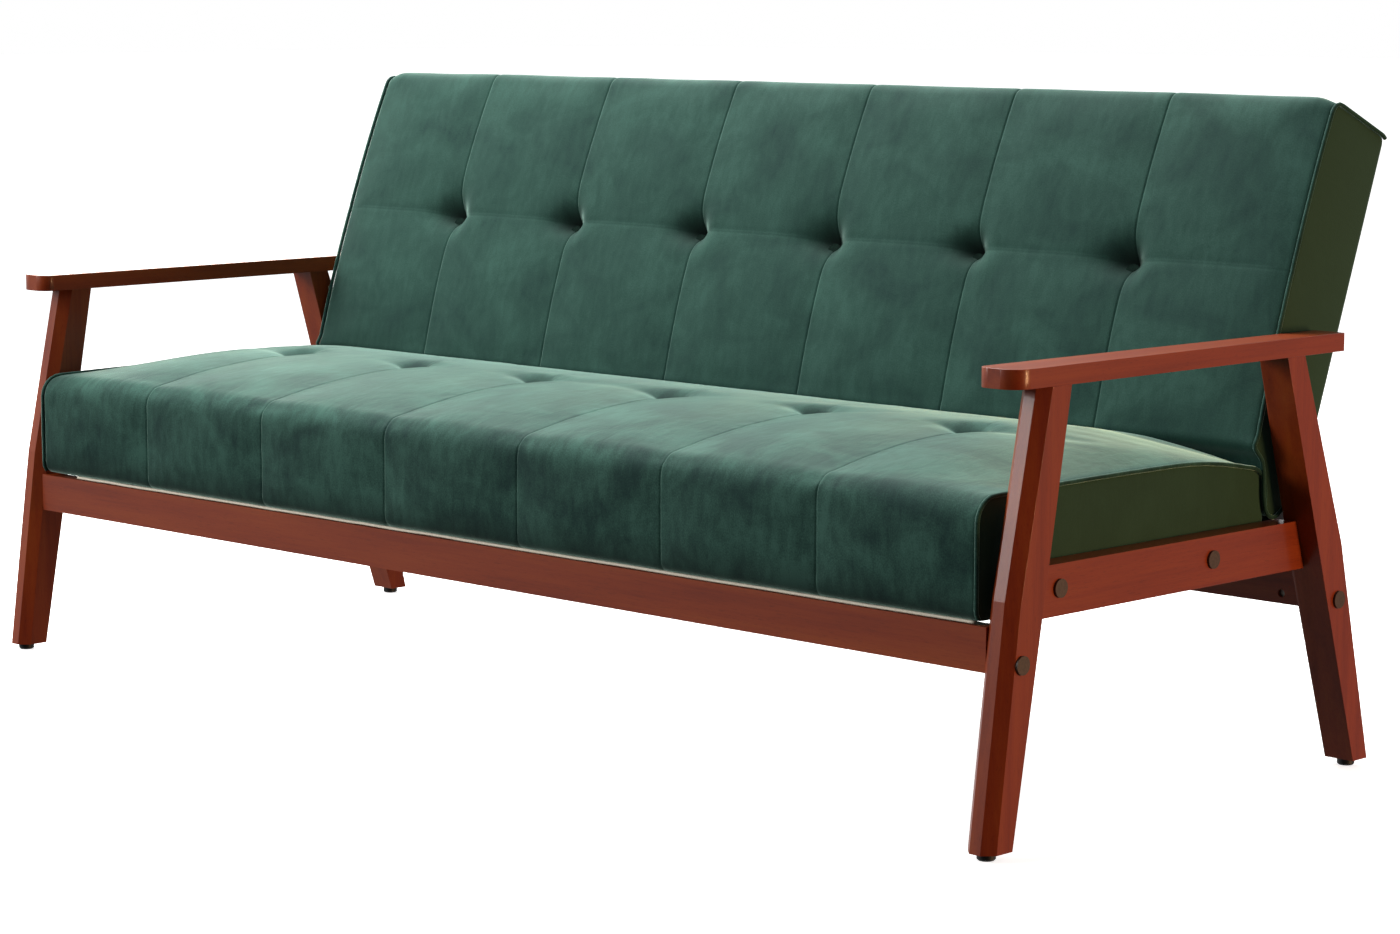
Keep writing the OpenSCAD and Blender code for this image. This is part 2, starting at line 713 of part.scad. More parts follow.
back_frame_low_gap = 15;
back_frame_top_gap = 16;
back_frame_y0 = heel_y + heel_run + back_frame_low_gap;
back_frame_y1 = back_h - back_frame_top_gap;
back_tube_z = 10;
back_tube_top_z = back_tube_z + back_tube_h;
back_bar_z = back_tube_z + back_tube_h / 2;
hinge_back_arm_l = 200;
hinge_neck_l = 70;
arm_edge_gap = 0.5;
drum_rim = 6;
back_bolt_ys = [back_frame_y0 + hinge_bolt_off, back_frame_y0 + hinge_bolt_off + hinge_bolt_pitch];

// The space that the back's frame, slats and hinge arms take inside the foam
module back_frame_space() {
    translate([-back_frame_half - hinge_arm_t - seat_gap, back_frame_y0 - seat_gap, back_tube_z - seat_gap])
        cube([2 * (back_frame_half + hinge_arm_t + seat_gap), back_frame_y1 - back_frame_y0 + 2 * seat_gap,
              back_tube_h + 2 * seat_gap]);
    hinge_back_slots();
}

module hinge_back_slots() {
    for (side = [-1, 1])
        translate([side > 0 ? back_frame_half - seat_gap : -back_frame_half - hinge_arm_t - seat_gap,
                   -drum_d, -drum_d])
            cube([hinge_arm_t + 2 * seat_gap, back_frame_y0 + drum_d + past,
                  drum_d + back_tube_top_z + seat_gap]);
}

module hinge_back_arm() {
    r = drum_d / 2 - drum_rim;
    low = back_tube_z + arm_edge_gap;
    high = back_tube_top_z - arm_edge_gap;
    difference() {
        union() {
            along_x(back_frame_half, back_frame_half + hinge_arm_t) union() {
                circle(r = r);
                polygon([[0, -r], [hinge_neck_l, low], [hinge_back_arm_l, low],
                         [hinge_back_arm_l, high], [hinge_neck_l, high], [0, r]]);
            }
            rod_x(drum_d, back_frame_half + hinge_arm_t, drum_x + drum_w, 0, 0);
        }
        rod_x(pivot_d + 2 * run_gap, back_frame_half - past, drum_x + drum_w + past, 0, 0);
        for (y = back_bolt_ys)
            rod_x(seat_bolt_d + 2 * run_gap, back_frame_half - past, back_frame_half + hinge_arm_t + past,
                  y, back_bar_z);
    }
}

// ---- The nodes

module armrest_left() { color("sienna") on_side("left") armrest(); }
module armrest_right() { color("sienna") on_side("right") armrest(); }
module front_leg_left() { color("sienna") on_side("left") front_leg(); }
module front_leg_right() { color("sienna") on_side("right") front_leg(); }
module rear_leg_left() { color("sienna") on_side("left") rear_leg(); }
module rear_leg_right() { color("sienna") on_side("right") rear_leg(); }
module side_rail_left() { color("sienna") on_side("left") side_rail(); }
module side_rail_right() { color("sienna") on_side("right") side_rail(); }
module front_rail() { color("brown") place() cross_rail(front_rail_y, 1); }
module rear_rail() { color("brown") place() cross_rail(rear_rail_y, -1); }
module foot_glides() { color("black") both_sides() for (y = glide_ys) glide(y); }
module arm_dowels() { color("burlywood") both_sides() arm_dowel_set(0, 0); }
module rail_dowels() { color("burlywood") both_sides() rail_dowel_set(0, 0); }

module cross_bolts() {
    color("silver") both_sides() {
        cross_bolt(front_rail_y);
        cross_bolt(rear_rail_y);
    }
}

module barrel_nuts() {
    color("silver") both_sides() {
        barrel_nut(front_rail_y, 1);
        barrel_nut(rear_rail_y, -1);
    }
}

module seat_bolts() { color("silver") both_sides() for (y = seat_bolt_ys) seat_bolt(y); }

module bolt_caps() {
    color("dimgray") both_sides() {
        for (y = [front_rail_y, rear_rail_y]) cap(leg_out_x, y, cross_bolt_h);
        for (y = seat_bolt_ys) cap(side_rail_out_x, y, seat_bolt_h);
    }
}

module seat_cover() {
    color("darkslategray") difference() {
        place() seat_body(0);
        place() seat_body(cover_t);
        place() translate([cover_t - seat_half, seat_frame_y0 - seat_gap, seat_bottom_h - past])
            cube([2 * (seat_half - cover_t), seat_in_y1 - seat_frame_y0 + seat_gap, cover_t + 2 * past]);
        both_sides() {
            hinge_seat_slot();
            for (y = seat_bolt_ys)
                rod_x(seat_bolt_d + 2 * seat_gap, seat_half - cover_t - past, seat_half + past,
                      y, seat_bolt_h);
        }
    }
}

module seat_foam() {
    color("khaki") place() difference() {
        seat_body(cover_t + seat_gap);
        translate([-frame_w, seat_frame_y0 - seat_gap, 0])
            cube([2 * frame_w, seat_rear_y, seat_tube_top_h + seat_gap]);
    }
}

module seat_tuft_buttons() { color("darkslategray") place() tuft_buttons(seat_tuft_y, seat_top_h); }

module seat_frame() {
    color("dimgray") difference() {
        union() {
            place() tube_frame(seat_frame_half, seat_frame_y0, seat_frame_y1, seat_tube_low_h, seat_tube_h);
            both_sides() for (y = seat_bolt_ys)
                rod_x(2 * seat_bolt_d, seat_frame_half - tube_wall - 6, seat_frame_half - tube_wall / 2,
                      y, seat_bolt_h);
        }
        both_sides() {
            for (y = seat_bolt_ys)
                rod_x(seat_bolt_d + 2 * run_gap, seat_bolt_end_x, seat_frame_half + past, y, seat_bolt_h);
            for (y = hinge_bolt_ys)
                rod_x(seat_bolt_d + 2 * run_gap, seat_frame_half - tube_w - past, seat_frame_half + past,
                      y, seat_bar_h);
        }
    }
}

module seat_slats() {
    color("burlywood") place() slats(seat_frame_half, seat_frame_y0, seat_frame_y1, seat_tube_top_h);
}

module seat_slat_holders() {
    color("black") place() slat_holders(seat_frame_half, seat_frame_y0, seat_frame_y1, seat_tube_top_h);
}

module seat_dust_cover() {
    color("beige") place()
        translate([seat_gap - seat_frame_half, seat_frame_y0, seat_tube_low_h - seat_gap - lining_t])
            cube([2 * (seat_frame_half - seat_gap), seat_frame_y1 - seat_frame_y0, lining_t]);
}

module hinge_seat_arm_left() { color("gray") on_side("left") hinge_seat_arm(); }
module hinge_seat_arm_right() { color("gray") on_side("right") hinge_seat_arm(); }
module hinge_pivot_left() { color("silver") on_side("left") hinge_pivot(); }
module hinge_pivot_right() { color("silver") on_side("right") hinge_pivot(); }

module hinge_bolts_seat() {
    color("silver") both_sides() for (y = hinge_bolt_ys) hinge_bolt(hinge_seat_arm_x, y, seat_bar_h);
}

module back_cover() {
    color("darkslategray") difference() {
        back_body(0);
        back_body(cover_t);
        back_place() hinge_back_slots();
    }
}

module back_foam() {
    color("khaki") difference() {
        back_body(cover_t + seat_gap);
        back_place() back_frame_space();
    }
}

module back_tuft_buttons() {
    color("darkslategray") back_place() tuft_buttons(back_h - back_tuft_drop, back_front_z + back_crown);
}

module back_frame() {
    color("dimgray") back_place() difference() {
        tube_frame(back_frame_half, back_frame_y0, back_frame_y1, back_tube_z, back_tube_h);
        for (side = [0, 1]) mirror([side, 0, 0]) for (y = back_bolt_ys)
            rod_x(seat_bolt_d + 2 * run_gap, back_frame_half - tube_w - past, back_frame_half + past,
                  y, back_bar_z);
    }
}

module back_slats() {
    color("burlywood") back_place() slats(back_frame_half, back_frame_y0, back_frame_y1, back_tube_top_z);
}

module back_slat_holders() {
    color("black") back_place()
        slat_holders(back_frame_half, back_frame_y0, back_frame_y1, back_tube_top_z);
}

module hinge_back_arm_left() { color("gray") back_place() mirror([1, 0, 0]) hinge_back_arm(); }
module hinge_back_arm_right() { color("gray") back_place() hinge_back_arm(); }

module hinge_bolts_back() {
    color("silver") back_place() for (side = [0, 1]) mirror([side, 0, 0])
        for (y = back_bolt_ys) hinge_bolt(back_frame_half, y, back_bar_z);
}

armrest_left();
armrest_right();
front_leg_left();
front_leg_right();
rear_leg_left();
rear_leg_right();
side_rail_left();
side_rail_right();
front_rail();
rear_rail();
foot_glides();
arm_dowels();
rail_dowels();
cross_bolts();
barrel_nuts();
seat_bolts();
bolt_caps();
seat_cover();
seat_foam();
seat_tuft_buttons();
seat_frame();
seat_slats();
seat_slat_holders();
seat_dust_cover();
hinge_seat_arm_left();
hinge_seat_arm_right();
hinge_pivot_left();
hinge_pivot_right();
hinge_bolts_seat();
back_cover();
back_foam();
back_tuft_buttons();
back_frame();
back_slats();
back_slat_holders();
hinge_back_arm_left();
hinge_back_arm_right();
hinge_bolts_back();
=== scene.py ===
"""A click-clack sofa bed: its timber, velvet and fittings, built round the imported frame.

Everything is in metres. X runs along the sofa, Y from front to back, Z up.
"""
import json
import math

import bpy
import numpy as np
from mathutils import Matrix, Vector


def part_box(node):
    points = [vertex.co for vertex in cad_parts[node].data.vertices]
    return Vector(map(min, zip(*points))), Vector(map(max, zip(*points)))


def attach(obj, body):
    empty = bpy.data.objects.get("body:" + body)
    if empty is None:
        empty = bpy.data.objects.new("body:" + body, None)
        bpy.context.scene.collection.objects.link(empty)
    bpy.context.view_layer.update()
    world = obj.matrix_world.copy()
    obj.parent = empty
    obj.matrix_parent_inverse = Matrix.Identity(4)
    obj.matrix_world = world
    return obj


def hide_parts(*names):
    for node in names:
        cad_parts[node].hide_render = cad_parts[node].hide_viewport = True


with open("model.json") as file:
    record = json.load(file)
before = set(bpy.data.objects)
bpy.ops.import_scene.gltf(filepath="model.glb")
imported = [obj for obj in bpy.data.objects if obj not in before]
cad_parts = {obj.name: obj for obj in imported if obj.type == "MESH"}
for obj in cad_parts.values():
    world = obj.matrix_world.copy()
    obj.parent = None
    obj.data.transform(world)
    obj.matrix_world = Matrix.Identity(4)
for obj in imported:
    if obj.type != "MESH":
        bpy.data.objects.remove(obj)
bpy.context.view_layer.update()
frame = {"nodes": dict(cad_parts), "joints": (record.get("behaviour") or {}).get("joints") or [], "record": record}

bl_info = {
    "name": "Click-clack sofa bed",
    "version": (1, 0, 0),
    "blender": (4, 5, 0),
    "location": "View3D > Sidebar > Sofa bed",
    "description": "Builds the timber, velvet and fittings of a sofa bed round its frame",
    "category": "Add Mesh",
}

MM = 0.001
SIDES = ("left", "right")

# A solid's doubled points are closer than WELD, and a timber face wider than FLAT_WIDTH is shaded flat.
WELD = 0.02 * MM
FLAT_WIDTH = 8 * MM

# The cushions' panels are alike. The two end ones lose END_TAKE_UP where their cloth turns the corner.
HINGE = Vector(frame["joints"][0]["pos_m"])
SEAT_LOW, SEAT_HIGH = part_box("seat_cover")
PANELS = 7
END_TAKE_UP = 12.5 * MM
PANEL_W = (2 * SEAT_HIGH.x + 2 * END_TAKE_UP) / PANELS
SEAMS = [(i - PANELS / 2) * PANEL_W for i in range(1, PANELS)]


def linear(code):
    """An sRGB hex colour as linear red, green, blue and alpha."""
    parts = [int(code[i:i + 2], 16) / 255 for i in (1, 3, 5)]
    return [p / 12.92 if p <= 0.04045 else ((p + 0.055) / 1.055) ** 2.4 for p in parts] + [1.0]


def colour(name, description, code):
    """A colour property with an sRGB hex default."""
    return bpy.props.FloatVectorProperty(name=name, description=description, subtype="COLOR", size=4,
                                         min=0, max=1, default=linear(code))


def length(name, description, default):
    """A length property in metres."""
    return bpy.props.FloatProperty(name=name, description=description, default=default, unit="LENGTH",
                                   precision=4)


def amount(name, description, default):
    """A property that is a bare number."""
    return bpy.props.FloatProperty(name=name, description=description, default=default)


class SofaTimber(bpy.types.PropertyGroup):
    """Sizes and colours of the stained timber."""

    ease: length("Edge ease", "Radius of the sanded edges", 1.4 * MM)
    arm_ease: length("Armrest ease", "Radius of the armrests' edges", 4.5 * MM)
    stain_dark: colour("Dark stain", "Colour of the denser grain", "#7A280A")
    stain_mid: colour("Stain", "Colour of most of the timber", "#8C340C")
    stain_light: colour("Light stain", "Colour of the paler grain", "#984010")
    lacquer_roughness: amount("Lacquer roughness", "Roughness under the clear coat", 0.42)
    coat: amount("Clear coat", "Weight of the clear lacquer", 0.3)


class SofaVelvet(bpy.types.PropertyGroup):
    """Sizes and colours of the upholstery."""

    deep: colour("Deep pile", "Colour of the pile seen end on", "#183430")
    pile: colour("Pile", "Colour of most of the pile", "#28483F")
    # Painted shade: the end panels are tinted towards this darker, more olive colour.
    shaded: colour("Shaded pile", "Colour of the end panels' pile, which lies away from the light",
                   "#314B3B")
    brushed: colour("Brushed pile", "Colour of the pile brushed flat", "#375B50")
    # Painted shade: the tufts' pockets and the seat's low front edge are darkened towards this colour.
    closed: colour("Closed pile", "Colour of the pile where it is pressed together", "#0B1915")
    sheen: colour("Sheen", "Colour of the light along the pile", "#C2E8DA")
    sheen_weight: amount("Sheen weight", "Strength of the light along the pile", 1.0)
    pressure: amount("Filling pressure", "How hard the filling pushes the cloth out", 2.0)
    seat_crown: length("Seat crown", "How far the seat's top is domed", 30 * MM)
    back_crown: length("Back crown", "How far the back's front is domed", 12 * MM)
    seam_pull: length("Seam pull", "How far a seam draws the panels in", 2 * MM)
    groove: length("Seam groove", "Depth of the groove along a seam", 1.0 * MM)
    piping: length("Piping", "Radius of the piping along the ends", 2.7 * MM)


class SofaStage(bpy.types.PropertyGroup):
    """The camera, the light and the floor."""

    lens: amount("Lens", "Focal length in millimetres", 91.85)
    eye: bpy.props.FloatVectorProperty(name="Eye", description="Place of the camera", size=3,
                                       unit="LENGTH", default=(3.40092, -3.40215, 0.96148))
    turn: bpy.props.FloatVectorProperty(name="Turn", description="Turn of the camera", size=3,
                                        unit="ROTATION",
                                        default=[math.radians(a) for a in (82.39, -0.14, 44.28)])
    key: amount("Key light", "Power of the large soft light on the left, in watts", 150)
    top: amount("Top light", "Power of the soft light overhead, in watts", 250)
    rim: amount("Rim light", "Power of the soft light behind on the left, in watts", 70)
    fill: amount("Fill light", "Power of the warm light on the right, in watts", 95)
    wall: amount("Wall", "Strength of the light from the white wall behind the sofa", 0.95)
    room: amount("Room", "Strength of the light from the dark room in front of the sofa", 0.08)


# ---- Materials


def add_node(tree, kind, inputs=(), **settings):
    """Adds a shader node with its settings, and sets or links its inputs."""
    node = tree.nodes.new("ShaderNode" + kind)
    for name, value in settings.items():
        setattr(node, name, value)
    for name, value in dict(inputs).items():
        if isinstance(value, bpy.types.NodeSocket):
            tree.links.new(value, node.inputs[name])
        else:
            node.inputs[name].default_value = value
    return node


def new_material(name, surface):
    """An empty material, its node tree and its shader with those inputs set."""
    material = bpy.data.materials.new(name)
    material.use_nodes = True
    tree = material.node_tree
    shader = tree.nodes["Principled BSDF"]
    for key, value in surface.items():
        shader.inputs[key].default_value = value
    return material, tree, shader


def ramp(tree, factor, stops):
    """A colour ramp through (place, colour) stops."""
    node = add_node(tree, "ValToRGB", {"Fac": factor})
    elements = node.color_ramp.elements
    while len(elements) < len(stops):
        elements.new(0.5)
    for element, (place, tint) in zip(elements, stops):
        element.position = place
        element.color = tint
    return node.outputs["Color"]


def stained_rubberwood(name, turn):
    """Rubberwood stained red-brown under a clear lacquer: straight soft grain and short dark pores.

    turn brings the way the grain runs round to X.
    """
    if name in bpy.data.materials:
        return bpy.data.materials[name]
    timber = bpy.context.scene.sofa_timber
    material, tree, shader = new_material(name, {
        "Roughness": timber.lacquer_roughness, "IOR": 1.5, "Specular IOR Level": 0.25,
        "Coat Weight": timber.coat, "Coat Roughness": 0.14, "Coat IOR": 1.5})
    place = add_node(tree, "TexCoord").outputs["Object"]
    along = add_node(tree, "Mapping", {"Vector": place, "Rotation": [math.radians(a) for a in turn]})

    def streaks(length_m, width_m, detail, seed):
        """Noise drawn out along the grain."""
        scaled = add_node(tree, "Mapping", {
            "Vector": along.outputs["Vector"], "Location": (seed, seed, seed),
            "Scale": (1 / length_m, 1 / width_m, 1 / width_m)})
        return add_node(tree, "TexNoise", {"Vector": scaled.outputs["Vector"], "Scale": 1.0,
                                           "Detail": detail, "Roughness": 0.55}).outputs["Fac"]

    bands = streaks(500 * MM, 24 * MM, 3, 0.0)
    fibre = streaks(90 * MM, 2.2 * MM, 2, 3.7)
    pores = streaks(12 * MM, 0.9 * MM, 1, 8.1)
    mixed = add_node(tree, "Mix", {"Factor": 0.22, "A": bands, "B": fibre}, data_type="FLOAT")
    tone = ramp(tree, mixed.outputs["Result"], [
        (0.32, timber.stain_dark), (0.5, timber.stain_mid), (0.7, timber.stain_light)])
    dark = ramp(tree, pores, [(0.30, linear("#7A6A66")), (0.40, linear("#FFFFFF"))])
    stained = add_node(tree, "Mix", {0: 0.25, 6: tone, 7: dark}, data_type="RGBA", blend_type="MULTIPLY")
    tree.links.new(stained.outputs[2], shader.inputs["Base Color"])
    raised = add_node(tree, "Bump", {"Height": fibre, "Strength": 0.06, "Distance": 0.4 * MM})
    tree.links.new(raised.outputs["Normal"], shader.inputs["Normal"])
    return material


def cut_pile_velvet(name, brushing):
    """Polyester velvet: a short dense pile that is dark end on and pale along its lie.

    Hands brush it into patches about 100 mm across, with shorter strokes over them, and a higher
    brushing makes both stand out more. The single tufts of its pile are finer than the render can
    show, so they are drawn about 2 mm across. Painted shade tints its end panels darker and more
    olive, and darkens the tufts' pockets and the seat's low front edge nearly to black.
    """
    if name in bpy.data.materials:
        return bpy.data.materials[name]
    velvet = bpy.context.scene.sofa_velvet
    material, tree, shader = new_material(name, {
        "Roughness": 0.8, "IOR": 1.45, "Specular IOR Level": 0.15,
        "Sheen Weight": velvet.sheen_weight, "Sheen Roughness": 0.3, "Sheen Tint": velvet.sheen})
    cloth = add_node(tree, "UVMap", uv_map="cloth").outputs["UV"]

    def patches(across, along, detail, seed, rough=0.55, swirl=0.0):
        """Noise with patches of that size, in metres."""
        scaled = add_node(tree, "Mapping", {"Vector": cloth, "Location": (seed, seed, seed),
                                            "Scale": (1 / across, 1 / along, 1)})
        return add_node(tree, "TexNoise", {
            "Vector": scaled.outputs["Vector"], "Scale": 1.0, "Detail": detail, "Roughness": rough,
            "Distortion": swirl}).outputs["Fac"]

    brushed = patches(110 * MM, 85 * MM, 4, 0.0, swirl=0.7)
    strokes = patches(12.5 * MM, 34 * MM, 4, 4.3, 0.6, 0.45)
    tufts = patches(1.6 * MM, 2.2 * MM, 1, 9.1)
    lie = add_node(tree, "Mix", {"Factor": 0.34, "A": brushed, "B": strokes}, data_type="FLOAT")
    fine = add_node(tree, "Mix", {"Factor": 0.22, "A": lie.outputs["Result"], "B": tufts},
                    data_type="FLOAT")
    reach = 0.145 / brushing
    tint = ramp(tree, fine.outputs["Result"], [
        (0.5 - reach, velvet.deep), (0.5, velvet.pile), (0.5 + reach, velvet.brushed)])
    # Painted shade: the end panels are tinted darker and more olive.
    ends = add_node(tree, "Attribute", attribute_name="end_panel").outputs["Fac"]
    shade = add_node(tree, "Mix", {0: ends, 6: tint, 7: velvet.shaded}, data_type="RGBA")
    # Painted shade: the tufts' pockets and the seat's low front edge are darkened nearly to black.
    pressed = add_node(tree, "Attribute", attribute_name="closed_pile").outputs["Fac"]
    closed = add_node(tree, "Mix", {0: pressed, 6: shade.outputs[2], 7: velvet.closed},
                      data_type="RGBA")
    tree.links.new(closed.outputs[2], shader.inputs["Base Color"])
    lay = add_node(tree, "Bump", {"Height": lie.outputs["Result"], "Strength": 0.2 * brushing,
                                  "Distance": 4 * MM})
    pile = add_node(tree, "Bump", {"Height": tufts, "Strength": 0.25, "Distance": 0.6 * MM,
                                   "Normal": lay.outputs["Normal"]})
    tree.links.new(pile.outputs["Normal"], shader.inputs["Normal"])
    return material


def speckled(name, code, dark_code, roughness, grain, metallic=0.0, specular=0.5):
    """A plain finish with a fine surface of its own: moulded, coated, plated, foamed or spun.

    grain is the size of its texture in metres.
    """
    if name in bpy.data.materials:
        return bpy.data.materials[name]
    material, tree, shader = new_material(name, {
        "Roughness": roughness, "Metallic": metallic, "Specular IOR Level": specular})
    place = add_node(tree, "TexCoord").outputs["Object"]
    scaled = add_node(tree, "Mapping", {"Vector": place, "Scale": [1 / grain] * 3})
    spots = add_node(tree, "TexNoise", {"Vector": scaled.outputs["Vector"], "Scale": 1.0, "Detail": 3})
    tint = ramp(tree, spots.outputs["Fac"], [(0.35, linear(dark_code)), (0.62, linear(code))])
    tree.links.new(tint, shader.inputs["Base Color"])
    raised = add_node(tree, "Bump", {"Height": spots.outputs["Fac"], "Strength": 0.15,
                                     "Distance": grain / 4})
    tree.links.new(raised.outputs["Normal"], shader.inputs["Normal"])
    return material


# The finish of each slot: its name, its colour and a darker one, its roughness, the size of its
# texture in metres and, where they aren't the usual ones, how metallic and how shiny it is.
FINISHES = {
    # Sprung slats of birch plywood: pale, with a soft grain that is barely there
    "bare_wood": ("birch_plywood", "#D8B078", "#B98A50", 0.55, 6 * MM),
    # Moulded polypropylene: black, with a dull even skin
    "black_plastic": ("moulded_polypropylene", "#1C1C1D", "#101011", 0.5, 2 * MM),
    # Moulded nylon: harder and a little shinier
    "glide_plastic": ("moulded_nylon", "#121212", "#0A0A0A", 0.45, 2 * MM),
    # Brown plastic caps, coloured to sit quietly in the timber
    "cap_plastic": ("moulded_brown_cap", "#4A3528", "#3C2A1F", 0.5, 3 * MM),
    # Buttons covered in the same velvet, painted nearly black for the shade deep in their pockets
    "velvet": ("covered_button", "#12261F", "#0B1A15", 0.95, 3 * MM, 0.0, 0.1),
    # Cut foam: cream, matt and open-celled
    "foam": ("polyurethane_foam", "#EDE2BC", "#D8C898", 0.9, 3 * MM),
    # Spunbond lining: off-white, matt and a little cloudy
    "lining": ("spunbond_lining", "#F6ECDA", "#E8DCC6", 0.9, 2 * MM),
    # Powder-coated steel: black and satin, with a fine orange peel
    "black_steel": ("powder_coated_steel", "#1B1B1D", "#121213", 0.42, 1.5 * MM),
    # Zinc-plated steel: grey, with a dull mirror in it
    "zinc_steel": ("zinc_plated_steel", "#8E8C86", "#6C6A64", 0.45, 4 * MM, 1.0),
}


# ---- Making and placing pieces


def linked(name, data):
    """Links a mesh, a curve, a lamp or a camera into the scene as an object."""
    made = bpy.data.objects.new(name, data)
    bpy.context.scene.collection.objects.link(made)
    return made


def select_only(piece):
    """Makes one object the only selected and the active one."""
    bpy.ops.object.select_all(action="DESELECT")
    piece.select_set(True)
    bpy.context.view_layer.objects.active = piece


def dress(piece, material, slot, body, *replaced):
    """Gives a piece its material and body, and hides the solids it stands for. Its slot is not used."""
    piece.data.materials.clear()
    piece.data.materials.append(material)
    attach(piece, body)
    if replaced:
        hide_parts(*replaced)


def copy_of(node, name):
    """A new object with its own merged copy of a solid's mesh."""
    mesh = frame["nodes"][node].data.copy()
    mesh.materials.clear()
    piece = linked(name, mesh)
    select_only(piece)
    bpy.ops.object.mode_set(mode="EDIT")
    bpy.ops.mesh.select_all(action="SELECT")
    bpy.ops.mesh.remove_doubles(threshold=WELD)
    bpy.ops.mesh.dissolve_limited(angle_limit=math.radians(3))
    bpy.ops.object.mode_set(mode="OBJECT")
    return piece


def eased(piece, radius, steps=3):
    """Rounds the sharp edges of a piece, and shades its broad faces flat."""
    select_only(piece)
    bevel = piece.modifiers.new("Ease", "BEVEL")
    bevel.width = radius
    bevel.segments = steps
    bevel.limit_method = "ANGLE"
    bevel.angle_limit = math.radians(35)
    bevel.use_clamp_overlap = True
    bevel.harden_normals = False
    bpy.ops.object.modifier_apply(modifier=bevel.name)
    bpy.ops.object.shade_smooth_by_angle(angle=math.radians(32))
    mesh = piece.data
    for face in mesh.polygons:
        longest = max((mesh.vertices[a].co - mesh.vertices[b].co).length for a, b in face.edge_keys)
        if face.area / longest > FLAT_WIDTH:
            face.use_smooth = False
    return piece


# ---- Cushions: a lattice of points (depth, height, width) over a closed box-like form


def arc(centre, radius, start, stop, steps=8):
    """Points on an arc, with its angles in degrees."""
    angles = np.radians(np.linspace(start, stop, steps + 1))
    return [(centre[0] + radius * math.cos(a), centre[1] + radius * math.sin(a)) for a in angles]


def resample(points, count):
    """count + 1 points, evenly spread along a line of points."""
    points = np.array(points, float)
    run = np.concatenate([[0], np.cumsum(np.linalg.norm(np.diff(points, axis=0), axis=1))])
    at = np.linspace(0, run[-1], count + 1)
    return np.stack([np.interp(at, run, points[:, i]) for i in range(points.shape[1])], axis=1)


def section(front, top, rear, bottom, n, m):
    """A filled grid of (n + 1, m + 1) points between four sides of a closed outline."""
    top, bottom = resample(top, n), resample(bottom, n)
    front, rear = resample(front, m), resample(rear, m)
    u = np.linspace(0, 1, n + 1)[:, None, None]
    v = np.linspace(0, 1, m + 1)[None, :, None]
    ruled = (1 - v) * bottom[:, None] + v * top[:, None] + (1 - u) * front[None] + u * rear[None]
    corners = ((1 - u) * (1 - v) * bottom[0] + u * (1 - v) * bottom[-1]
               + (1 - u) * v * top[0] + u * v * top[-1])
    return ruled - corners


def columns(half, pitch):
    """Places along X, about pitch apart, with one on each seam, and which of them are seams."""
    stops = [-half] + SEAMS + [half]
    places, seams = [-half], []
    for low, high in zip(stops, stops[1:]):
        count = round((high - low) / pitch)
        places += list(np.linspace(low, high, count + 1)[1:])
        seams.append(len(places) - 1)
    return np.array(places), seams[:-1]


def shell_of(lattice):
    """Which points of a lattice lie on its outside."""
    shell = np.zeros(lattice.shape[:3], bool)
    shell[[0, -1]] = True
    shell[:, [0, -1]] = True
    shell[:, :, [0, -1]] = True
    return shell


def lattice_mesh(name, lattice):
    """A closed mesh over a lattice, with a UV map "cloth" in metres along and round it."""
    shell = shell_of(lattice)
    index = np.full(lattice.shape[:3], -1)
    index[shell] = np.arange(shell.sum())
    middle = lattice[:, :, lattice.shape[2] // 2]

    def run(line, start):
        """Distance along a line of points, from start."""
        steps = np.linalg.norm(np.diff(line, axis=0), axis=1)
        return start + np.concatenate([[0], np.cumsum(steps)])

    front_v = run(middle[0], 0)
    top_v = run(middle[:, -1], front_v[-1])
    rear_v = run(middle[-1, ::-1], top_v[-1])[::-1]
    bottom_v = run(middle[::-1, 0], rear_v[0])[::-1]
    faces, uvs = [], []

    def side(grid, u, v, flip):
        """Adds the four-sided faces of one side."""
        uv = np.stack(np.broadcast_arrays(u, v), axis=-1)
        ring = [(slice(None, -1), slice(None, -1)), (slice(None, -1), slice(1, None)),
                (slice(1, None), slice(1, None)), (slice(1, None), slice(None, -1))]
        if flip:
            ring.reverse()
        faces.append(np.stack([grid[r] for r in ring], axis=-1).reshape(-1, 4))
        uvs.append(np.stack([uv[r] for r in ring], axis=-2).reshape(-1, 2))

    x = lattice[0, 0, :, 0]
    side(index[0], x[None], front_v[:, None], False)
    side(index[-1], x[None], rear_v[:, None], True)
    side(index[:, -1], x[None], top_v[:, None], False)
    side(index[:, 0], x[None], bottom_v[:, None], True)
    for c, flip in ((0, False), (-1, True)):
        side(index[:, :, c], lattice[:, :, c, 1], lattice[:, :, c, 2], flip)
    mesh = bpy.data.meshes.new(name)
    mesh.from_pydata(lattice[shell].tolist(), [], np.concatenate(faces).tolist())
    layer = mesh.uv_layers.new(name="cloth")
    layer.data.foreach_set("uv", np.concatenate(uvs).astype(np.float32).ravel())
    mesh.update()
    return mesh


def points_of(mesh, what="co"):
    """A mesh's points, or another vector of theirs, as an array."""
    flat = np.zeros(len(mesh.vertices) * 3, np.float32)
    mesh.vertices.foreach_get(what, flat)
    return flat.reshape(-1, 3).astype(float)


def normals_of(mesh):
    """A mesh's normals at its points, as an array."""
    return points_of(mesh, "normal")


def set_points(mesh, points):
    """Moves a mesh's points."""
    mesh.vertices.foreach_set("co", points.astype(np.float32).ravel())
    mesh.update()


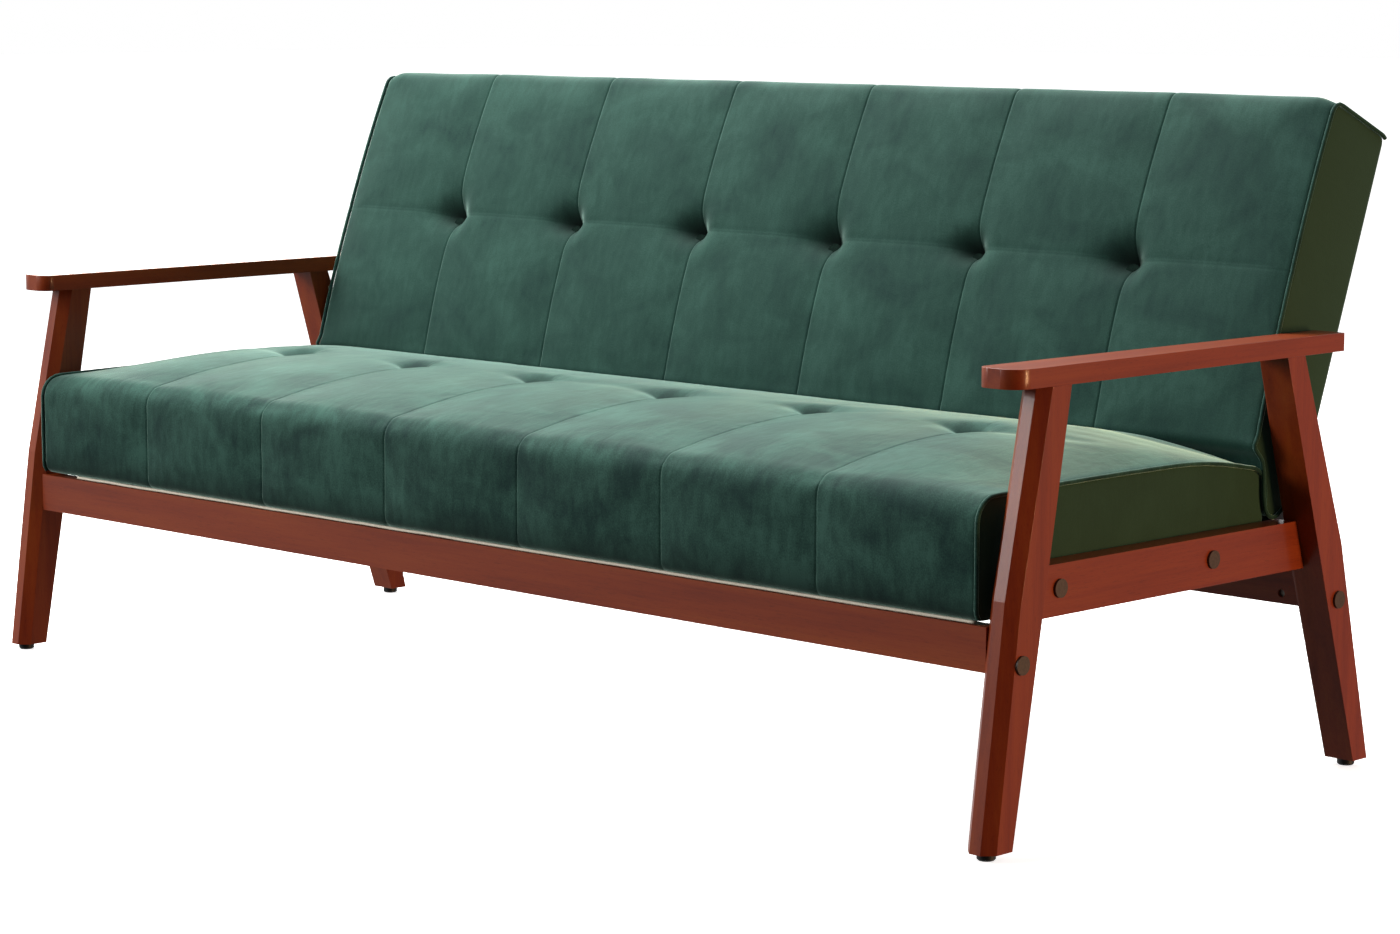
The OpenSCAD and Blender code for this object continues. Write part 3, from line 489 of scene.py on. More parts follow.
def wave(points, size, seed):
    """Smooth noise from -1 to 1 with waves of about that size, the same on every run."""
    at = points / size + seed * 17.31
    cell = np.floor(at).astype(np.int64)
    part = at - cell
    part = part * part * (3 - 2 * part)
    total = np.zeros(len(points))
    for corner in range(8):
        step = np.array([corner & 1, corner >> 1 & 1, corner >> 2 & 1])
        key = (cell + step) @ np.array([73856093, 19349663, 83492791]) + seed * 1013
        key = (key ^ (key >> 13)) * 1274126177 & 0x7FFFFFFF
        value = (key >> 8 & 0xFFFF) / 32767.5 - 1
        weight = np.where(step, part, 1 - part).prod(axis=1)
        total += weight * value
    return total


def bell(distance, width):
    """A smooth rise of 1 at no distance that dies away over a width."""
    return np.exp(-(distance / width) ** 2)


def from_tuft(points, x, row, stretch):
    """How far points lie from a tuft: across, up, and straight in terms of its drawn-out pocket."""
    dx, dy = points[:, 0] - x, points[:, 1] - row
    return dx, dy, np.hypot(np.where(dx < 0, dx / stretch, dx), np.where(dy > 0, dy / 1.25, dy))


def drawn_in(points, row, depth, spread, stretch, across_fold, along_fold, lobe):
    """How far cloth sinks round a row of tufts, one on each seam.

    Each tuft is a pocket, drawn out to one side by stretch, with a fold that runs across the sofa,
    a fold along the seam, and a soft lobe of filling in each of the four corners between them.
    Every tuft differs a little.
    """
    total = np.zeros(len(points))
    for i, x in enumerate(SEAMS):
        turn = 1 + 0.16 * math.sin(2.4 * i + 1)
        dx, dy, far = from_tuft(points, x, row, stretch)
        total -= depth * np.exp(-(far / (spread * turn)) ** 1.4)
        clear = 1 - np.exp(-(far / spread) ** 2)
        across = bell(dy - 0.04 * dx, 3 * MM + 0.14 * np.abs(dx)) * np.exp(-np.abs(dx) / (38 * MM * turn))
        along = bell(dx, 3 * MM + 0.14 * np.abs(dy)) * np.exp(-np.abs(dy) / (34 * MM))
        total -= clear * (across_fold * np.where(dx < 0, 1.25, 0.6) * across + along_fold * along)
        total += lobe * bell(np.abs(dx) - 27 * MM, 17 * MM) * bell(np.abs(dy) - 24 * MM, 16 * MM)
    return total


def stitched(points, gap, groove, pucker):
    """How far cloth sinks into its seams, with the small puckers that the stitches draw beside them."""
    push = 0.12 * MM * bell(gap - 5 * MM, 4 * MM) - groove * bell(gap, 1.3 * MM)
    push += pucker * bell(gap, 16 * MM) * wave(points * [0.35, 1, 1], 7 * MM, 3)
    return push + 0.4 * MM * wave(points, 60 * MM, 5) + 0.07 * MM * wave(points, 16 * MM, 6)


def puff(piece, rest, sewn, pinned, pressure, cap):
    """Blows the cloth up against its stitching with Blender's Cloth, and keeps the result.

    The pinned points go from where they are cut to where they are sewn. No other point moves
    further than the cap.
    """
    scene = bpy.context.scene
    select_only(piece)
    pins = piece.vertex_groups.new(name="stitched")
    pins.add(np.flatnonzero(pinned).tolist(), 1.0, "REPLACE")
    piece.shape_key_add(name="cut")
    key = piece.shape_key_add(name="sewn")
    key.data.foreach_set("co", sewn.astype(np.float32).ravel())

    # The cloth is sewn by the tenth step, and has settled by the twentieth.
    for value, step in ((0, 1), (1, 10)):
        key.value = value
        key.keyframe_insert("value", frame=step)
    cloth = piece.modifiers.new("Cloth", "CLOTH")
    cloth.settings.quality = 4
    cloth.settings.mass = 0.3
    cloth.settings.tension_stiffness = 15
    cloth.settings.compression_stiffness = 8
    cloth.settings.shear_stiffness = 4
    cloth.settings.bending_stiffness = 0.6
    cloth.settings.vertex_group_mass = pins.name
    cloth.settings.use_pressure = True
    cloth.settings.uniform_pressure_force = pressure
    cloth.settings.effector_weights.gravity = 0
    cloth.collision_settings.use_collision = False
    cloth.collision_settings.use_self_collision = False
    for step in range(1, 21):
        scene.frame_set(step)
    made = piece.evaluated_get(bpy.context.evaluated_depsgraph_get())
    points = points_of(made.data)
    action = piece.data.shape_keys.animation_data.action
    piece.modifiers.clear()
    piece.shape_key_clear()
    bpy.data.actions.remove(action)
    piece.vertex_groups.clear()
    scene.frame_set(1)
    goal = np.where(pinned[:, None], sewn, rest)
    moved = points - goal
    far = np.linalg.norm(moved, axis=1, keepdims=True)
    return goal + moved * np.minimum(1, cap / np.maximum(far, 1e-9))


def pressed_flat(lattice, sewn, pinned):
    """Takes the shortest wrinkles out of the blown cloth, across its front and its top."""
    moved = lattice - sewn
    for side in (moved[0], moved[:, -1]):
        for _ in range(3):
            side[1:-1] = (side[:-2] + 2 * side[1:-1] + side[2:]) / 4
    moved[pinned] = 0
    return sewn + moved


def with_seam_lines(lattice, seams, axis, offsets):
    """Adds lines of points at those distances from each seam, on both sides of it."""
    parts, last = [], 0
    count = lattice.shape[axis]

    def take(i):
        """The points at one place along the axis."""
        return np.take(lattice, [i], axis=axis)

    for seam in seams:
        here = take(seam)
        for toward in (-1, 1):
            if not 0 <= seam + toward < count:
                continue
            there = take(seam + toward)
            gap = float(np.median(np.linalg.norm(there - here, axis=-1)))
            lines = [here + (there - here) * (offset / gap) for offset in offsets]
            parts.append((seam if toward < 0 else seam + 1, lines[::-1] if toward < 0 else lines))
    pieces = []
    for at, lines in sorted(parts, key=lambda part: part[0]):
        pieces.append(np.take(lattice, range(last, at), axis=axis))
        pieces += lines
        last = at
    pieces.append(np.take(lattice, range(last, count), axis=axis))
    return np.concatenate(pieces, axis=axis)


def subdivided(piece):
    """Smooths a piece with one level of subdivision."""
    select_only(piece)
    smooth = piece.modifiers.new("Smooth", "SUBSURF")
    smooth.levels = smooth.render_levels = 1
    bpy.ops.object.modifier_apply(modifier=smooth.name)
    bpy.ops.object.shade_smooth()
    return piece


def mark(piece, name, share):
    """Keeps a share for each point of a piece, for its material to read."""
    layer = piece.data.attributes.new(name, "FLOAT", "POINT")
    layer.data.foreach_set("value", share.astype(np.float32))


def mark_cushion(piece, row, reach, stretch, low_edge_shade=0.0):
    """Marks a cushion's painted shade: on its end panels, in its tufts' pockets and along its low front edge."""
    points, normals = points_of(piece.data), normals_of(piece.data)
    # Painted shade on the end panels, where the cloth faces along X.
    mark(piece, "end_panel", 0.85 * np.clip(np.abs(normals[:, 0]) * 3 - 1.6, 0, 1))
    # Painted shade in the tufts' pockets and along the low front edge.
    far = np.min([from_tuft(points, x, row, stretch)[2] for x in SEAMS], axis=0)
    rise = points[:, 2] - SEAT_LOW.z - 6 * MM * wave(points * [1, 0, 0.3], 50 * MM, 15)
    low = low_edge_shade * np.clip(1.25 - rise / (36 * MM), 0, 1) * np.clip(-normals[:, 1] * 2, 0, 1)
    mark(piece, "closed_pile", np.maximum(bell(far, reach), low))


def velvet_of(part):
    """The velvet of the seat or of the back."""
    return cut_pile_velvet("cut_pile_velvet_" + part, BRUSHING[part])


def lining_sheet(name, points, rows, flip=False):
    """An open sheet over rows of points, as an object."""
    corner = np.arange(len(points)).reshape(rows, -1)
    ring = [corner[:-1, :-1], corner[1:, :-1], corner[1:, 1:], corner[:-1, 1:]]
    if flip:
        ring = ring[:1] + ring[:0:-1]
    mesh = bpy.data.meshes.new(name)
    mesh.from_pydata(points.tolist(), [], np.stack(ring, axis=-1).reshape(-1, 4).tolist())
    mesh.update()
    return linked(name, mesh)


# Those who sit down brush the seat's pile more than the back's.
BRUSHING = {"seat": 1.45, "back": 0.7}

# A cushion's lattice: its steps along and up a section, and about how far apart its sections are.
SEAT_STEPS = (68, 18)
BACK_STEPS = (64, 16)
PITCH = 8 * MM

# A tuft's pocket: its depth and spread, how far it is drawn out to one side, and the depths of its two
# folds and the height of its four lobes. POCKET_SHADE_REACH is how far the pocket's painted shade reaches.
TUFTS = {
    "seat": {"depth": 22 * MM, "spread": 14 * MM, "stretch": 1.6, "across_fold": 3 * MM,
             "along_fold": 1 * MM, "lobe": 1 * MM},
    "back": {"depth": 28 * MM, "spread": 17 * MM, "stretch": 1.9, "across_fold": 5 * MM,
             "along_fold": 1.5 * MM, "lobe": 1 * MM},
}
POCKET_SHADE_REACH = {"seat": 13 * MM, "back": 19 * MM}

# The piping's middle stands out from the ends, and the seat's goes this many steps down its rear.
PIPING_OUT = 1.8 * MM
SEAT_PIPING_REAR = 7

# The seat's skin is stretched over its frame below these heights, at its ends and at its rear.
SEAT_ENDS_HELD = 330 * MM
SEAT_REAR_HELD = 310 * MM

SEAT_TUFT_Y = SEAT_LOW.y + 283 * MM
BACK_LEAN = math.radians(20)
BACK_PLACE = Matrix.Translation(HINGE) @ Matrix.Rotation(math.pi / 2 - BACK_LEAN, 4, "X")


def back_flat_points():
    """The back's solid, lying flat with the hinge at zero, as the back is drawn."""
    return points_of(frame["nodes"]["back_cover"].data) @ np.array(BACK_PLACE.to_3x3()) - np.array(
        BACK_PLACE.to_3x3().transposed() @ HINGE)


BACK_FLAT = back_flat_points()
BACK_LOW, BACK_HIGH = Vector(BACK_FLAT.min(axis=0)), Vector(BACK_FLAT.max(axis=0))
BACK_TUFT_Y = BACK_HIGH.y - 228 * MM


def seat_section(shape):
    """One section of the seat as a grid of (y, z). shape is how far its top is domed and droops."""
    rise, droop = shape
    y0, y1, z0 = SEAT_LOW.y + 1 * MM, SEAT_HIGH.y - 1 * MM, SEAT_LOW.z
    edge = SEAT_HIGH.z - bpy.context.scene.sofa_velvet.seat_crown - 3 * MM
    front_r, rear_r, toe_r, low_r = 30 * MM, 32 * MM, 15 * MM, 9 * MM
    droop_y, droop_run = y0 + 365 * MM, 157 * MM

    def dome(y):
        """Height of the top, before its edges are rounded."""
        s = (y - y0) / (y1 - y0) * 2 - 1
        return edge + rise * (1 - s * s) - droop * max(0, (y - droop_y) / droop_run) ** 2

    front_c = (y0 + front_r, dome(y0 + front_r) - front_r)
    rear_c = (y1 - rear_r, dome(y1 - rear_r) - rear_r)
    low_front, low_rear = (y0 + toe_r, z0 + toe_r), (y1 - low_r, z0 + low_r)
    ys = np.linspace(y0 + front_r, y1 - rear_r, 24)[1:-1]
    front = arc(low_front, toe_r, 225, 180) + arc(front_c, front_r, 180, 135)
    top = arc(front_c, front_r, 135, 95) + [(y, dome(y)) for y in ys] + arc(rear_c, rear_r, 85, 45)
    rear = arc(low_rear, low_r, 315, 360) + arc(rear_c, rear_r, 0, 45)
    bottom = arc(low_front, toe_r, 225, 270) + arc(low_rear, low_r, 270, 315)
    return section(front, top, rear, bottom, *SEAT_STEPS)


def back_section(shape):
    """One section of the back lying flat, as a grid of (y, z).

    shape is how far its front is domed, and how far its top edge is drawn in.
    """
    rise, drawn = shape
    top_y = BACK_HIGH.y + 1 * MM - drawn
    front_z = BACK_HIGH.z - bpy.context.scene.sofa_velvet.back_crown - 3 * MM - 0.5 * drawn
    low_y, knee_y, knee_z = 96 * MM, 140 * MM, -10 * MM
    rear_z = BACK_LOW.z + 0.8 * MM
    front_r, rear_r = 16 * MM, 8 * MM

    def dome(y):
        """Height of the front, before its edges are rounded."""
        s = (y - low_y) / (top_y - low_y) * 2 - 1
        return front_z + rise * (1 - abs(s) ** 2.4)

    front_c = (top_y - front_r, dome(top_y - front_r) - front_r)
    rear_c = (top_y - 6 * MM - rear_r, rear_z + rear_r)
    ys = np.linspace(low_y + 4 * MM, top_y - front_r, 24)[:-1]
    heel = [(32 * MM, 24 * MM), (19 * MM, 33 * MM), (14 * MM, 44 * MM), (17 * MM, 58 * MM)]
    lower = heel + [(36 * MM, 70 * MM), (62 * MM, 80 * MM), (76 * MM, 90 * MM), (81 * MM, 102 * MM)]
    face = [(81 * MM, 102 * MM), (86 * MM, 112 * MM)] + [(y, dome(y)) for y in ys]
    face += arc(front_c, front_r, 86, 45)
    upper = arc(rear_c, rear_r, 315, 360, 4) + arc(front_c, front_r, 4, 45)
    rear = [(32 * MM, 24 * MM), (75 * MM, 9 * MM), (knee_y, knee_z)]
    slope = (rear_z - knee_z) / (top_y - knee_y)
    rear += [(y, knee_z + slope * (y - knee_y)) for y in (250 * MM, 380 * MM)]
    rear += arc(rear_c, rear_r, 270, 315, 4)
    return section(lower, face, upper, rear, *BACK_STEPS)


def stacked(section_at, places, rises):
    """A lattice made of one section at each place along X."""
    rows = [section_at(rise) for rise in rises]
    lattice = np.zeros(rows[0].shape[:2] + (len(places), 3))
    for i, (x, row) in enumerate(zip(places, rows)):
        lattice[:, :, i, 0] = x
        lattice[:, :, i, 1:] = row
    return lattice


def end_rise(places, low, run):
    """1 along the middle, falling to low at both ends over a run."""
    d = np.clip((np.abs(places).max() - np.abs(places)) / run, 0, 1)
    return low + (1 - low) * np.sin(d * math.pi / 2)


def held_edges(lattice):
    """Which points of a lattice lie on the edges of its two ends, which the piping holds."""
    held = np.zeros(lattice.shape[:3], bool)
    for c in (0, -1):
        held[[0, -1], :, c] = True
        held[:, [0, -1], c] = True
    return held


def tuft_row(lattice, y):
    """The row of a lattice's points that is nearest to its tufts."""
    return int(np.argmin(np.abs(lattice[:, -1, 0, 1] - y)))


def blown(name, lattice, sewn, pinned, cap):
    """The lattice blown up against its stitching."""
    shell = shell_of(lattice)
    piece = linked(name, lattice_mesh(name, lattice))
    pressure = bpy.context.scene.sofa_velvet.pressure
    lattice[shell] = puff(piece, lattice[shell], sewn[shell], pinned[shell], pressure, cap)
    bpy.data.objects.remove(piece)
    return pressed_flat(lattice, sewn, pinned)


def sewn_up(name, lattice, seams, row, beside_row):
    """A cushion's piece over its lattice, with lines of points close to its seams and its tufts."""
    fine = with_seam_lines(lattice, seams, 2, (1.3 * MM, 3.6 * MM))
    fine = with_seam_lines(fine, [row], 0, beside_row)
    return subdivided(linked(name, lattice_mesh(name, fine)))


def to_seam(points):
    """How far points lie from the nearest seam."""
    return np.min([np.abs(points[:, 0] - x) for x in SEAMS], axis=0)


def off_ends(normals):
    """1 all round a cushion, falling to 0 on its two ends."""
    return np.clip(1 - np.abs(normals[:, 0]) * 1.4, 0, 1)


def facing_up(normals):
    """1 where a cushion faces up, falling to 0 on its sides."""
    return np.clip(normals[:, 2] * 2 - 0.6, 0, 1)


def tufted(part, piece, points, normals, row, low_edge_shade=0.0):
    """Draws in a cushion's row of tufts, and marks where its velvet gets painted shade."""
    points[:, 2] += facing_up(normals) * drawn_in(points, row, **TUFTS[part])
    set_points(piece.data, points)
    mark_cushion(piece, row, POCKET_SHADE_REACH[part], TUFTS[part]["stretch"], low_edge_shade)


class SofaSeat(bpy.types.Operator):
    """Adds the tufted seat cushion."""

    bl_idname = "sofa.add_seat"
    bl_label = "Seat cushion"

    def execute(self, context):
        velvet = context.scene.sofa_velvet
        places, seams = columns(SEAT_HIGH.x, PITCH)
        rises = (velvet.seat_crown + 4 * MM) * end_rise(places, 0.1, 170 * MM)
        droops = 16 * MM * (1 - end_rise(places, 0, 200 * MM))
        lattice = stacked(seat_section, places, zip(rises, droops))
        row = tuft_row(lattice, SEAT_TUFT_Y)

        heights = lattice[..., 2]
        sewn, pinned = lattice.copy(), held_edges(lattice)
        pinned[:, 0] = True
        pinned[:, :, [0, -1]] |= heights[:, :, [0, -1]] < SEAT_ENDS_HELD
        pinned[-1] |= heights[-1] < SEAT_REAR_HELD
        for c in seams:
            pinned[0, :, c] = True
            pinned[:row + 1, -1, c] = True
            sewn[0, :, c, 1] += velvet.seam_pull
            sewn[:row + 1, -1, c, 2] -= velvet.seam_pull
        lattice = blown("seat_cushion", lattice, sewn, pinned, 5 * MM)
        piece = sewn_up("seat_cushion", lattice, seams, row, (2 * MM, 5 * MM))

        # The seams sink in most on the front, and fade on the top towards the tufts.
        tuft_y = lattice[row, -1, 0, 1]
        points, normals = points_of(piece.data), normals_of(piece.data)
        upper = np.clip((points[:, 2] - SEAT_LOW.z - 6 * MM) / (10 * MM), 0, 1)
        kept = 1 - 0.85 * np.clip((points[:, 1] - tuft_y + 60 * MM) / (60 * MM), 0, 1)
        kept *= 1 - 0.5 * facing_up(normals)
        push = stitched(points, to_seam(points), velvet.groove * kept, 0.3 * MM)

        # Sitting creases the cloth along the front edge.
        creased = bell(points[:, 1] - SEAT_LOW.y - 16 * MM, 22 * MM)
        push += 0.22 * MM * creased * wave(points * [1, 0.12, 0.12], 5 * MM, 8)
        points += normals * (push * upper * off_ends(normals))[:, None]
        # Painted shade darkens the seat's low front edge.
        tufted("seat", piece, points, normals, tuft_y, 0.55)
        dress(piece, velvet_of("seat"), "velvet", "base", "seat_cover", "seat_foam")
        add_piping("seat", lattice, "base", Matrix.Identity(4))
        return {"FINISHED"}


class SofaLining(bpy.types.Operator):
    """Adds the dust lining under the seat, and its hem along the front."""

    bl_idname = "sofa.add_lining"
    bl_label = "Dust lining"

    def execute(self, context):
        low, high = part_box("seat_dust_cover")
        xs, ys = np.linspace(low.x, high.x, 141), np.linspace(low.y, high.y, 45)
        x, y = (grid.ravel() for grid in np.meshgrid(xs, ys))
        inside = np.minimum(np.minimum(x - low.x, high.x - x), np.minimum(y - low.y, high.y - y))
        slack = np.clip(inside / (60 * MM), 0, 1)
        points = np.c_[x, y, np.full(len(x), low.z + 0.6 * MM)]
        points[:, 2] -= slack * (1.6 * MM + 0.8 * MM * wave(points * [1, 0.4, 1], 70 * MM, 12))
        points[:, 2] += 0.3 * MM * (1 - slack) * wave(points * [1, 0.2, 1], 12 * MM, 13)
        sheet = lining_sheet("seat_lining", points, len(ys))

        # The hem shows as a pale line between the seat's front edge and the rail.
        front, top = SEAT_LOW.y, SEAT_LOW.z
        fold = [(front + 17 * MM, top + 1 * MM), (front + 8 * MM, top + 1 * MM),
                (front + 6.9 * MM, top + 0.2 * MM), (front + 7.1 * MM, top - 1.7 * MM)]
        xs = np.linspace(-SEAT_HIGH.x + 70 * MM, SEAT_HIGH.x - 6 * MM, 260)
        points = np.array([(x, y, z) for y, z in fold for x in xs])
        points[:, 1:] += 0.35 * MM * wave(points * [1, 0.1, 0.1], 40 * MM, 14)[:, None]
        hem = lining_sheet("seat_lining_hem", points, len(fold), flip=True)
        lining = speckled(*FINISHES["lining"])
        for piece in (sheet, hem):
            select_only(piece)
            wall = piece.modifiers.new("Wall", "SOLIDIFY")
            wall.thickness = 0.6 * MM
            wall.offset = 0
            bpy.ops.object.modifier_apply(modifier=wall.name)
            bpy.ops.object.shade_smooth()
        dress(sheet, lining, "lining", "base", "seat_dust_cover")
        dress(hem, lining, "lining", "base")
        return {"FINISHED"}


class SofaBack(bpy.types.Operator):
    """Adds the tufted back cushion."""

    bl_idname = "sofa.add_back"
    bl_label = "Back cushion"

    def execute(self, context):
        velvet = context.scene.sofa_velvet
        places, seams = columns(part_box("back_cover")[1].x, PITCH)
        rises = velvet.back_crown * end_rise(places, 0.7, 120 * MM)
        draws = 8 * MM * (1 - end_rise(places, 0, 30 * MM))
        lattice = stacked(back_section, places, zip(rises, draws))
        row = tuft_row(lattice, BACK_TUFT_Y)

        sewn, pinned = lattice.copy(), held_edges(lattice)
        pinned[0] = pinned[:, 0] = pinned[row, -1] = True
        sewn[row, -1, :, 2] -= velvet.seam_pull * 0.25
        for c in seams:
            pinned[:, -1, c] = True
            pinned[-1, :, c] = True
            sewn[:, -1, c, 2] -= velvet.seam_pull * 0.6
        lattice = blown("back_cushion", lattice, sewn, pinned, 3 * MM)
        piece = sewn_up("back_cushion", lattice, seams, row, (1.5 * MM, 4 * MM))

        # A faint line runs across from tuft to tuft.
        tuft_y = lattice[row, -1, 0, 1]
        points, normals = points_of(piece.data), normals_of(piece.data)
        push = stitched(points, to_seam(points), velvet.groove, 0.2 * MM)
        push -= 0.35 * velvet.groove * bell(np.abs(points[:, 1] - tuft_y), 1.3 * MM)
        off_rear = np.clip(normals[:, 2] * 2 + 0.6, 0, 1)
        points += normals * (push * off_rear * off_ends(normals))[:, None]
        tufted("back", piece, points, normals, tuft_y)
        piece.data.transform(BACK_PLACE)
        dress(piece, velvet_of("back"), "velvet", "back", "back_cover", "back_foam")
        add_piping("back", lattice, "back", BACK_PLACE)
        return {"FINISHED"}


def add_piping(part, lattice, body, place):
    """Lays a cloth-covered cord along the edges of both ends of a cushion.

    The seat's stops a little way down its rear, where the back hides it.
    """
    velvet = bpy.context.scene.sofa_velvet
    for side, c in zip(SIDES, (0, -1)):
        line = np.concatenate([lattice[0, :, c], lattice[1:, -1, c], lattice[-1, -2::-1, c]])
        if part == "seat":
            line = line[:len(line) - SEAT_STEPS[1] + SEAT_PIPING_REAR]
        line[:, 0] *= 1 + PIPING_OUT / abs(line[0, 0])
        curve = bpy.data.curves.new(part + "_piping", "CURVE")
        curve.dimensions = "3D"
        curve.bevel_depth = velvet.piping
        curve.bevel_resolution = 2
        curve.use_fill_caps = True
        spline = curve.splines.new("POLY")
        spline.points.add(len(line) - 1)
        spline.points.foreach_set("co", np.c_[line, np.ones(len(line))].ravel())
        select_only(linked(f"{part}_piping_{side}", curve))
        bpy.ops.object.convert(target="MESH")
        piece = bpy.context.object
        layer = piece.data.uv_layers.new(name="cloth")
        corners = np.zeros(len(piece.data.loops), np.int32)
        piece.data.loops.foreach_get("vertex_index", corners)
        layer.data.foreach_set("uv", points_of(piece.data)[corners][:, 1:].astype(np.float32).ravel())
        bpy.ops.object.shade_smooth()
        piece.data.transform(place)
        dress(piece, velvet_of(part), "velvet", body)


# ---- Timber

GRAIN = {
    "armrest": ("rubberwood_along_depth", (0, 0, 90)),
    "side_rail": ("rubberwood_along_depth", (0, 0, 90)),
    "front_leg": ("rubberwood_upright", (0, 90, 0)),
    "rear_leg": ("rubberwood_upright", (0, 90, 0)),
    "front_rail": ("rubberwood_along_width", (0, 0, 0)),
    "rear_rail": ("rubberwood_along_width", (0, 0, 0)),
}


def add_timber(node, radius):
    """Adds one timber piece with its edges eased."""
    kind = node.removesuffix("_left").removesuffix("_right")
    piece = eased(copy_of(node, node + "_timber"), radius)
    dress(piece, stained_rubberwood(*GRAIN[kind]), "stained_wood", "base", node)


class SofaArmrests(bpy.types.Operator):
    """Adds the two armrests."""

    bl_idname = "sofa.add_armrests"
    bl_label = "Armrests"

    def execute(self, context):
        for side in SIDES:
            add_timber("armrest_" + side, context.scene.sofa_timber.arm_ease)
        return {"FINISHED"}


class SofaLegs(bpy.types.Operator):
    """Adds the four raked legs."""

    bl_idname = "sofa.add_legs"
    bl_label = "Legs"

    def execute(self, context):
        for side in SIDES:
            add_timber("front_leg_" + side, context.scene.sofa_timber.ease)
            add_timber("rear_leg_" + side, context.scene.sofa_timber.ease)
        return {"FINISHED"}


class SofaRails(bpy.types.Operator):
    """Adds the side, front and rear rails."""

    bl_idname = "sofa.add_rails"
    bl_label = "Rails"

    def execute(self, context):
        for node in ("side_rail_left", "side_rail_right", "front_rail", "rear_rail"):
            add_timber(node, context.scene.sofa_timber.ease)
        return {"FINISHED"}


class SofaFittings(bpy.types.Operator):
    """Finishes the caps, glides, bolts, hinges and the parts inside."""

    bl_idname = "sofa.finish_fittings"
    bl_label = "Fittings"

    def execute(self, context):
        slots = {part["node"]: part["material_slot"] for part in frame["record"]["subparts"]}
        for node, piece in frame["nodes"].items():
            if piece.hide_render:
                continue
            if slots[node] == "stained_wood":
                material = stained_rubberwood(*GRAIN["front_rail"])
            else:
                material = speckled(*FINISHES[slots[node]])
            piece.data.materials.clear()
            piece.data.materials.append(material)
        return {"FINISHED"}


# ---- Stage

# Each lamp: its name, its place, its width, the stage's property with its power, and its tint.
LAMPS = (
    ("key_light", (-2.9, -4.2, 2.2), 2.4, "key", "#FFFFFF"),
    ("top_light", (-1.5, 0.3, 3.4), 2.6, "top", "#FFFFFF"),
    ("rim_light", (-3.8, 1.9, 1.5), 2.0, "rim", "#FFF6EC"),
    ("fill_light", (4.2, 1.0, 0.3), 1.0, "fill", "#FFC890"),
)
LAMP_AIM = Vector((0, 0, 0.45))

# From the white wall, behind the sofa on its left, to the dark room, in front of it on its right.
WALL_TO_ROOM = (0.8, -0.6, 0)


def add_floor():
    """A pale paper floor that takes the sofa's shadow but throws no light back at it."""
    bpy.ops.object.select_all(action="DESELECT")
    bpy.ops.mesh.primitive_plane_add(size=80, location=(0, 0, 0))
    floor = bpy.context.object
    floor.name = "studio_floor"
    bpy.ops.object.mode_set(mode="EDIT")
    bpy.ops.mesh.subdivide(number_cuts=3)
    bpy.ops.object.mode_set(mode="OBJECT")
    floor.data.materials.append(new_material("matt_white_paper", {
        "Roughness": 0.9, "Base Color": linear("#F4F3F1"),
        "Emission Color": linear("#FFFFFF"), "Emission Strength": 0.8})[0])
    floor.visible_diffuse = False
    floor.visible_glossy = False


def add_surroundings(stage):
    """Light from all round, by its way: bright from the wall, dim from the room and from below."""
    world = bpy.data.worlds.new("soft_studio")
    bpy.context.scene.world = world
    world.use_nodes = True
    tree = world.node_tree
    way = add_node(tree, "TexCoord").outputs["Generated"]
    front = add_node(tree, "VectorMath", {0: way, 1: WALL_TO_ROOM}, operation="DOT_PRODUCT")
    level = add_node(tree, "SeparateXYZ", {"Vector": way}).outputs["Z"]
    wall = add_node(tree, "MapRange", {"Value": front.outputs["Value"], "From Min": -0.7,
                                       "From Max": 0.35, "To Min": stage.wall, "To Max": stage.room})
    floor_shade = add_node(tree, "MapRange", {"Value": level, "From Min": -0.3, "From Max": 0.1,
                                              "To Min": 0.55, "To Max": 1.0})
    sky = add_node(tree, "Math", {0: wall.outputs["Result"], 1: floor_shade.outputs["Result"]},
                   operation="MULTIPLY")
    light = add_node(tree, "LightPath")
    strength = add_node(tree, "Mix", {"Factor": light.outputs["Is Camera Ray"],
                                      "A": sky.outputs["Value"], "B": 1.0}, data_type="FLOAT")
    back = tree.nodes["Background"]
    back.inputs["Color"].default_value = (1, 1, 1, 1)
    tree.links.new(strength.outputs["Result"], back.inputs["Strength"])


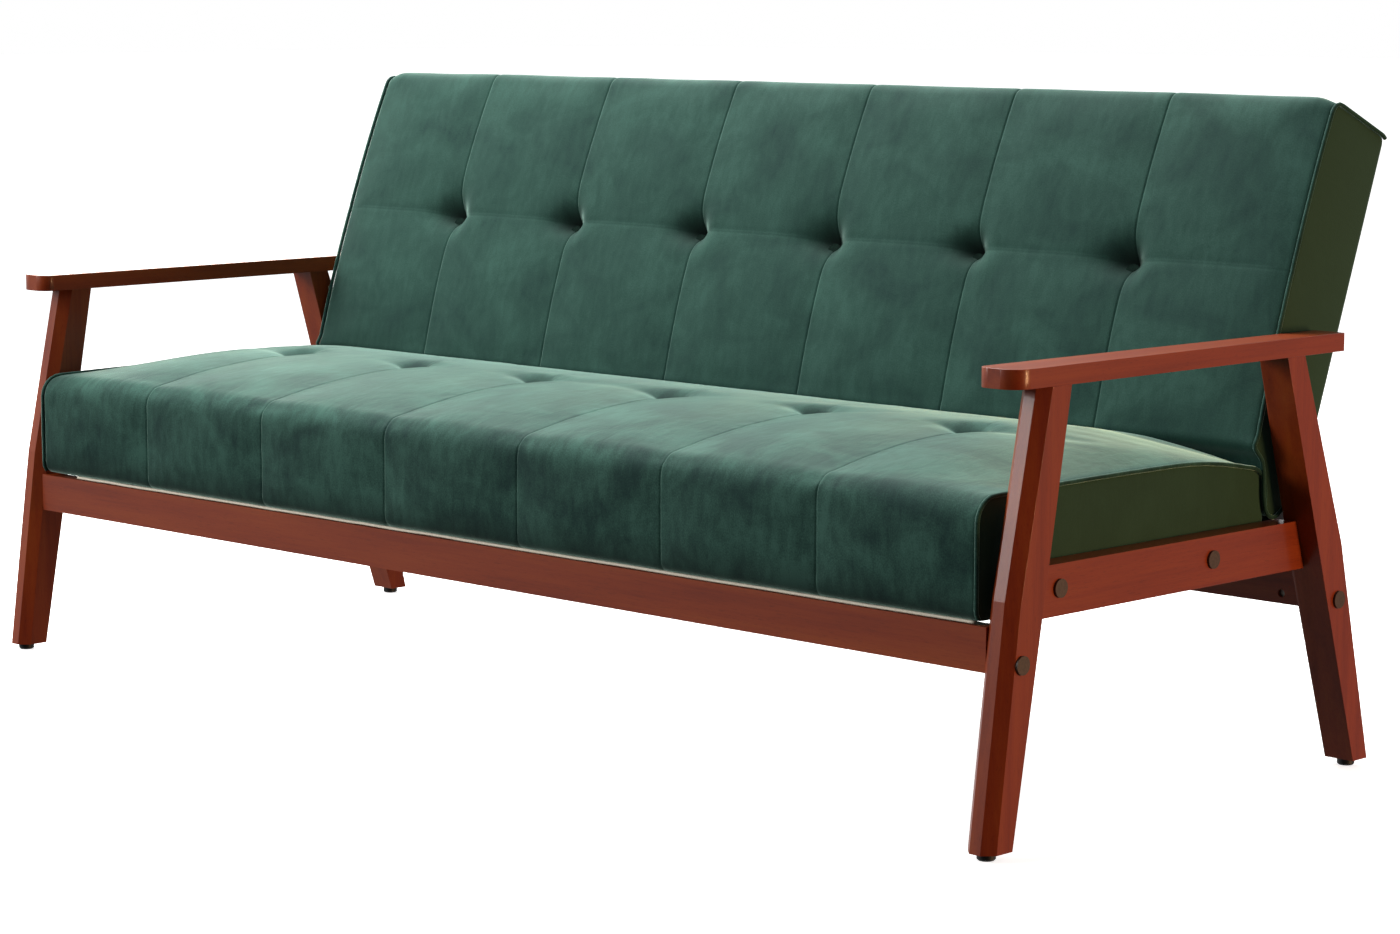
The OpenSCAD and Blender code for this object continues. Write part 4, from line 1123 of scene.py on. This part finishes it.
def add_lamps(stage):
    """The soft lamps, all turned to the middle of the sofa."""
    for name, place, size, power, tint in LAMPS:
        lamp = bpy.data.lights.new(name, "AREA")
        lamp.energy = getattr(stage, power)
        lamp.size = size
        lamp.color = linear(tint)[:3]
        holder = linked(name, lamp)
        holder.location = place
        holder.visible_camera = False
        holder.rotation_euler = (LAMP_AIM - Vector(place)).to_track_quat("-Z", "Y").to_euler()


def add_camera(stage):
    """The camera, in front of the sofa on its right."""
    view = bpy.data.cameras.new("camera")
    view.lens = stage.lens
    view.sensor_width = 36
    camera = linked("camera", view)
    camera.location = stage.eye
    camera.rotation_euler = stage.turn
    bpy.context.scene.camera = camera
    bpy.context.scene.view_settings.view_transform = "Standard"


class SofaStageSet(bpy.types.Operator):
    """Adds the floor, the lights and the camera."""

    bl_idname = "sofa.add_stage"
    bl_label = "Stage"

    def execute(self, context):
        stage = context.scene.sofa_stage
        add_floor()
        add_surroundings(stage)
        add_lamps(stage)
        add_camera(stage)
        return {"FINISHED"}


class SofaPanel(bpy.types.Panel):
    """Lists the steps that build the sofa bed."""

    bl_idname = "SOFA_PT_panel"
    bl_label = "Sofa bed"
    bl_space_type = "VIEW_3D"
    bl_region_type = "UI"
    bl_category = "Sofa bed"

    def draw(self, context):
        for operator in OPERATORS:
            self.layout.operator(operator.bl_idname)


OPERATORS = (SofaStageSet, SofaArmrests, SofaLegs, SofaRails, SofaSeat, SofaLining, SofaBack,
             SofaFittings)
GROUPS = {"sofa_timber": SofaTimber, "sofa_velvet": SofaVelvet, "sofa_stage": SofaStage}


def register():
    """Registers the property groups, the operators and the panel."""
    for name, group in GROUPS.items():
        bpy.utils.register_class(group)
        setattr(bpy.types.Scene, name, bpy.props.PointerProperty(type=group))
    for cls in OPERATORS + (SofaPanel,):
        bpy.utils.register_class(cls)


def unregister():
    """Takes them away again."""
    for cls in reversed(OPERATORS + (SofaPanel,)):
        bpy.utils.unregister_class(cls)
    for name, group in GROUPS.items():
        delattr(bpy.types.Scene, name)
        bpy.utils.unregister_class(group)


def main():
    """Builds everything."""
    register()
    for operator in OPERATORS:
        family, step = operator.bl_idname.split(".")
        getattr(getattr(bpy.ops, family), step)()


if __name__ == "__main__":
    main()
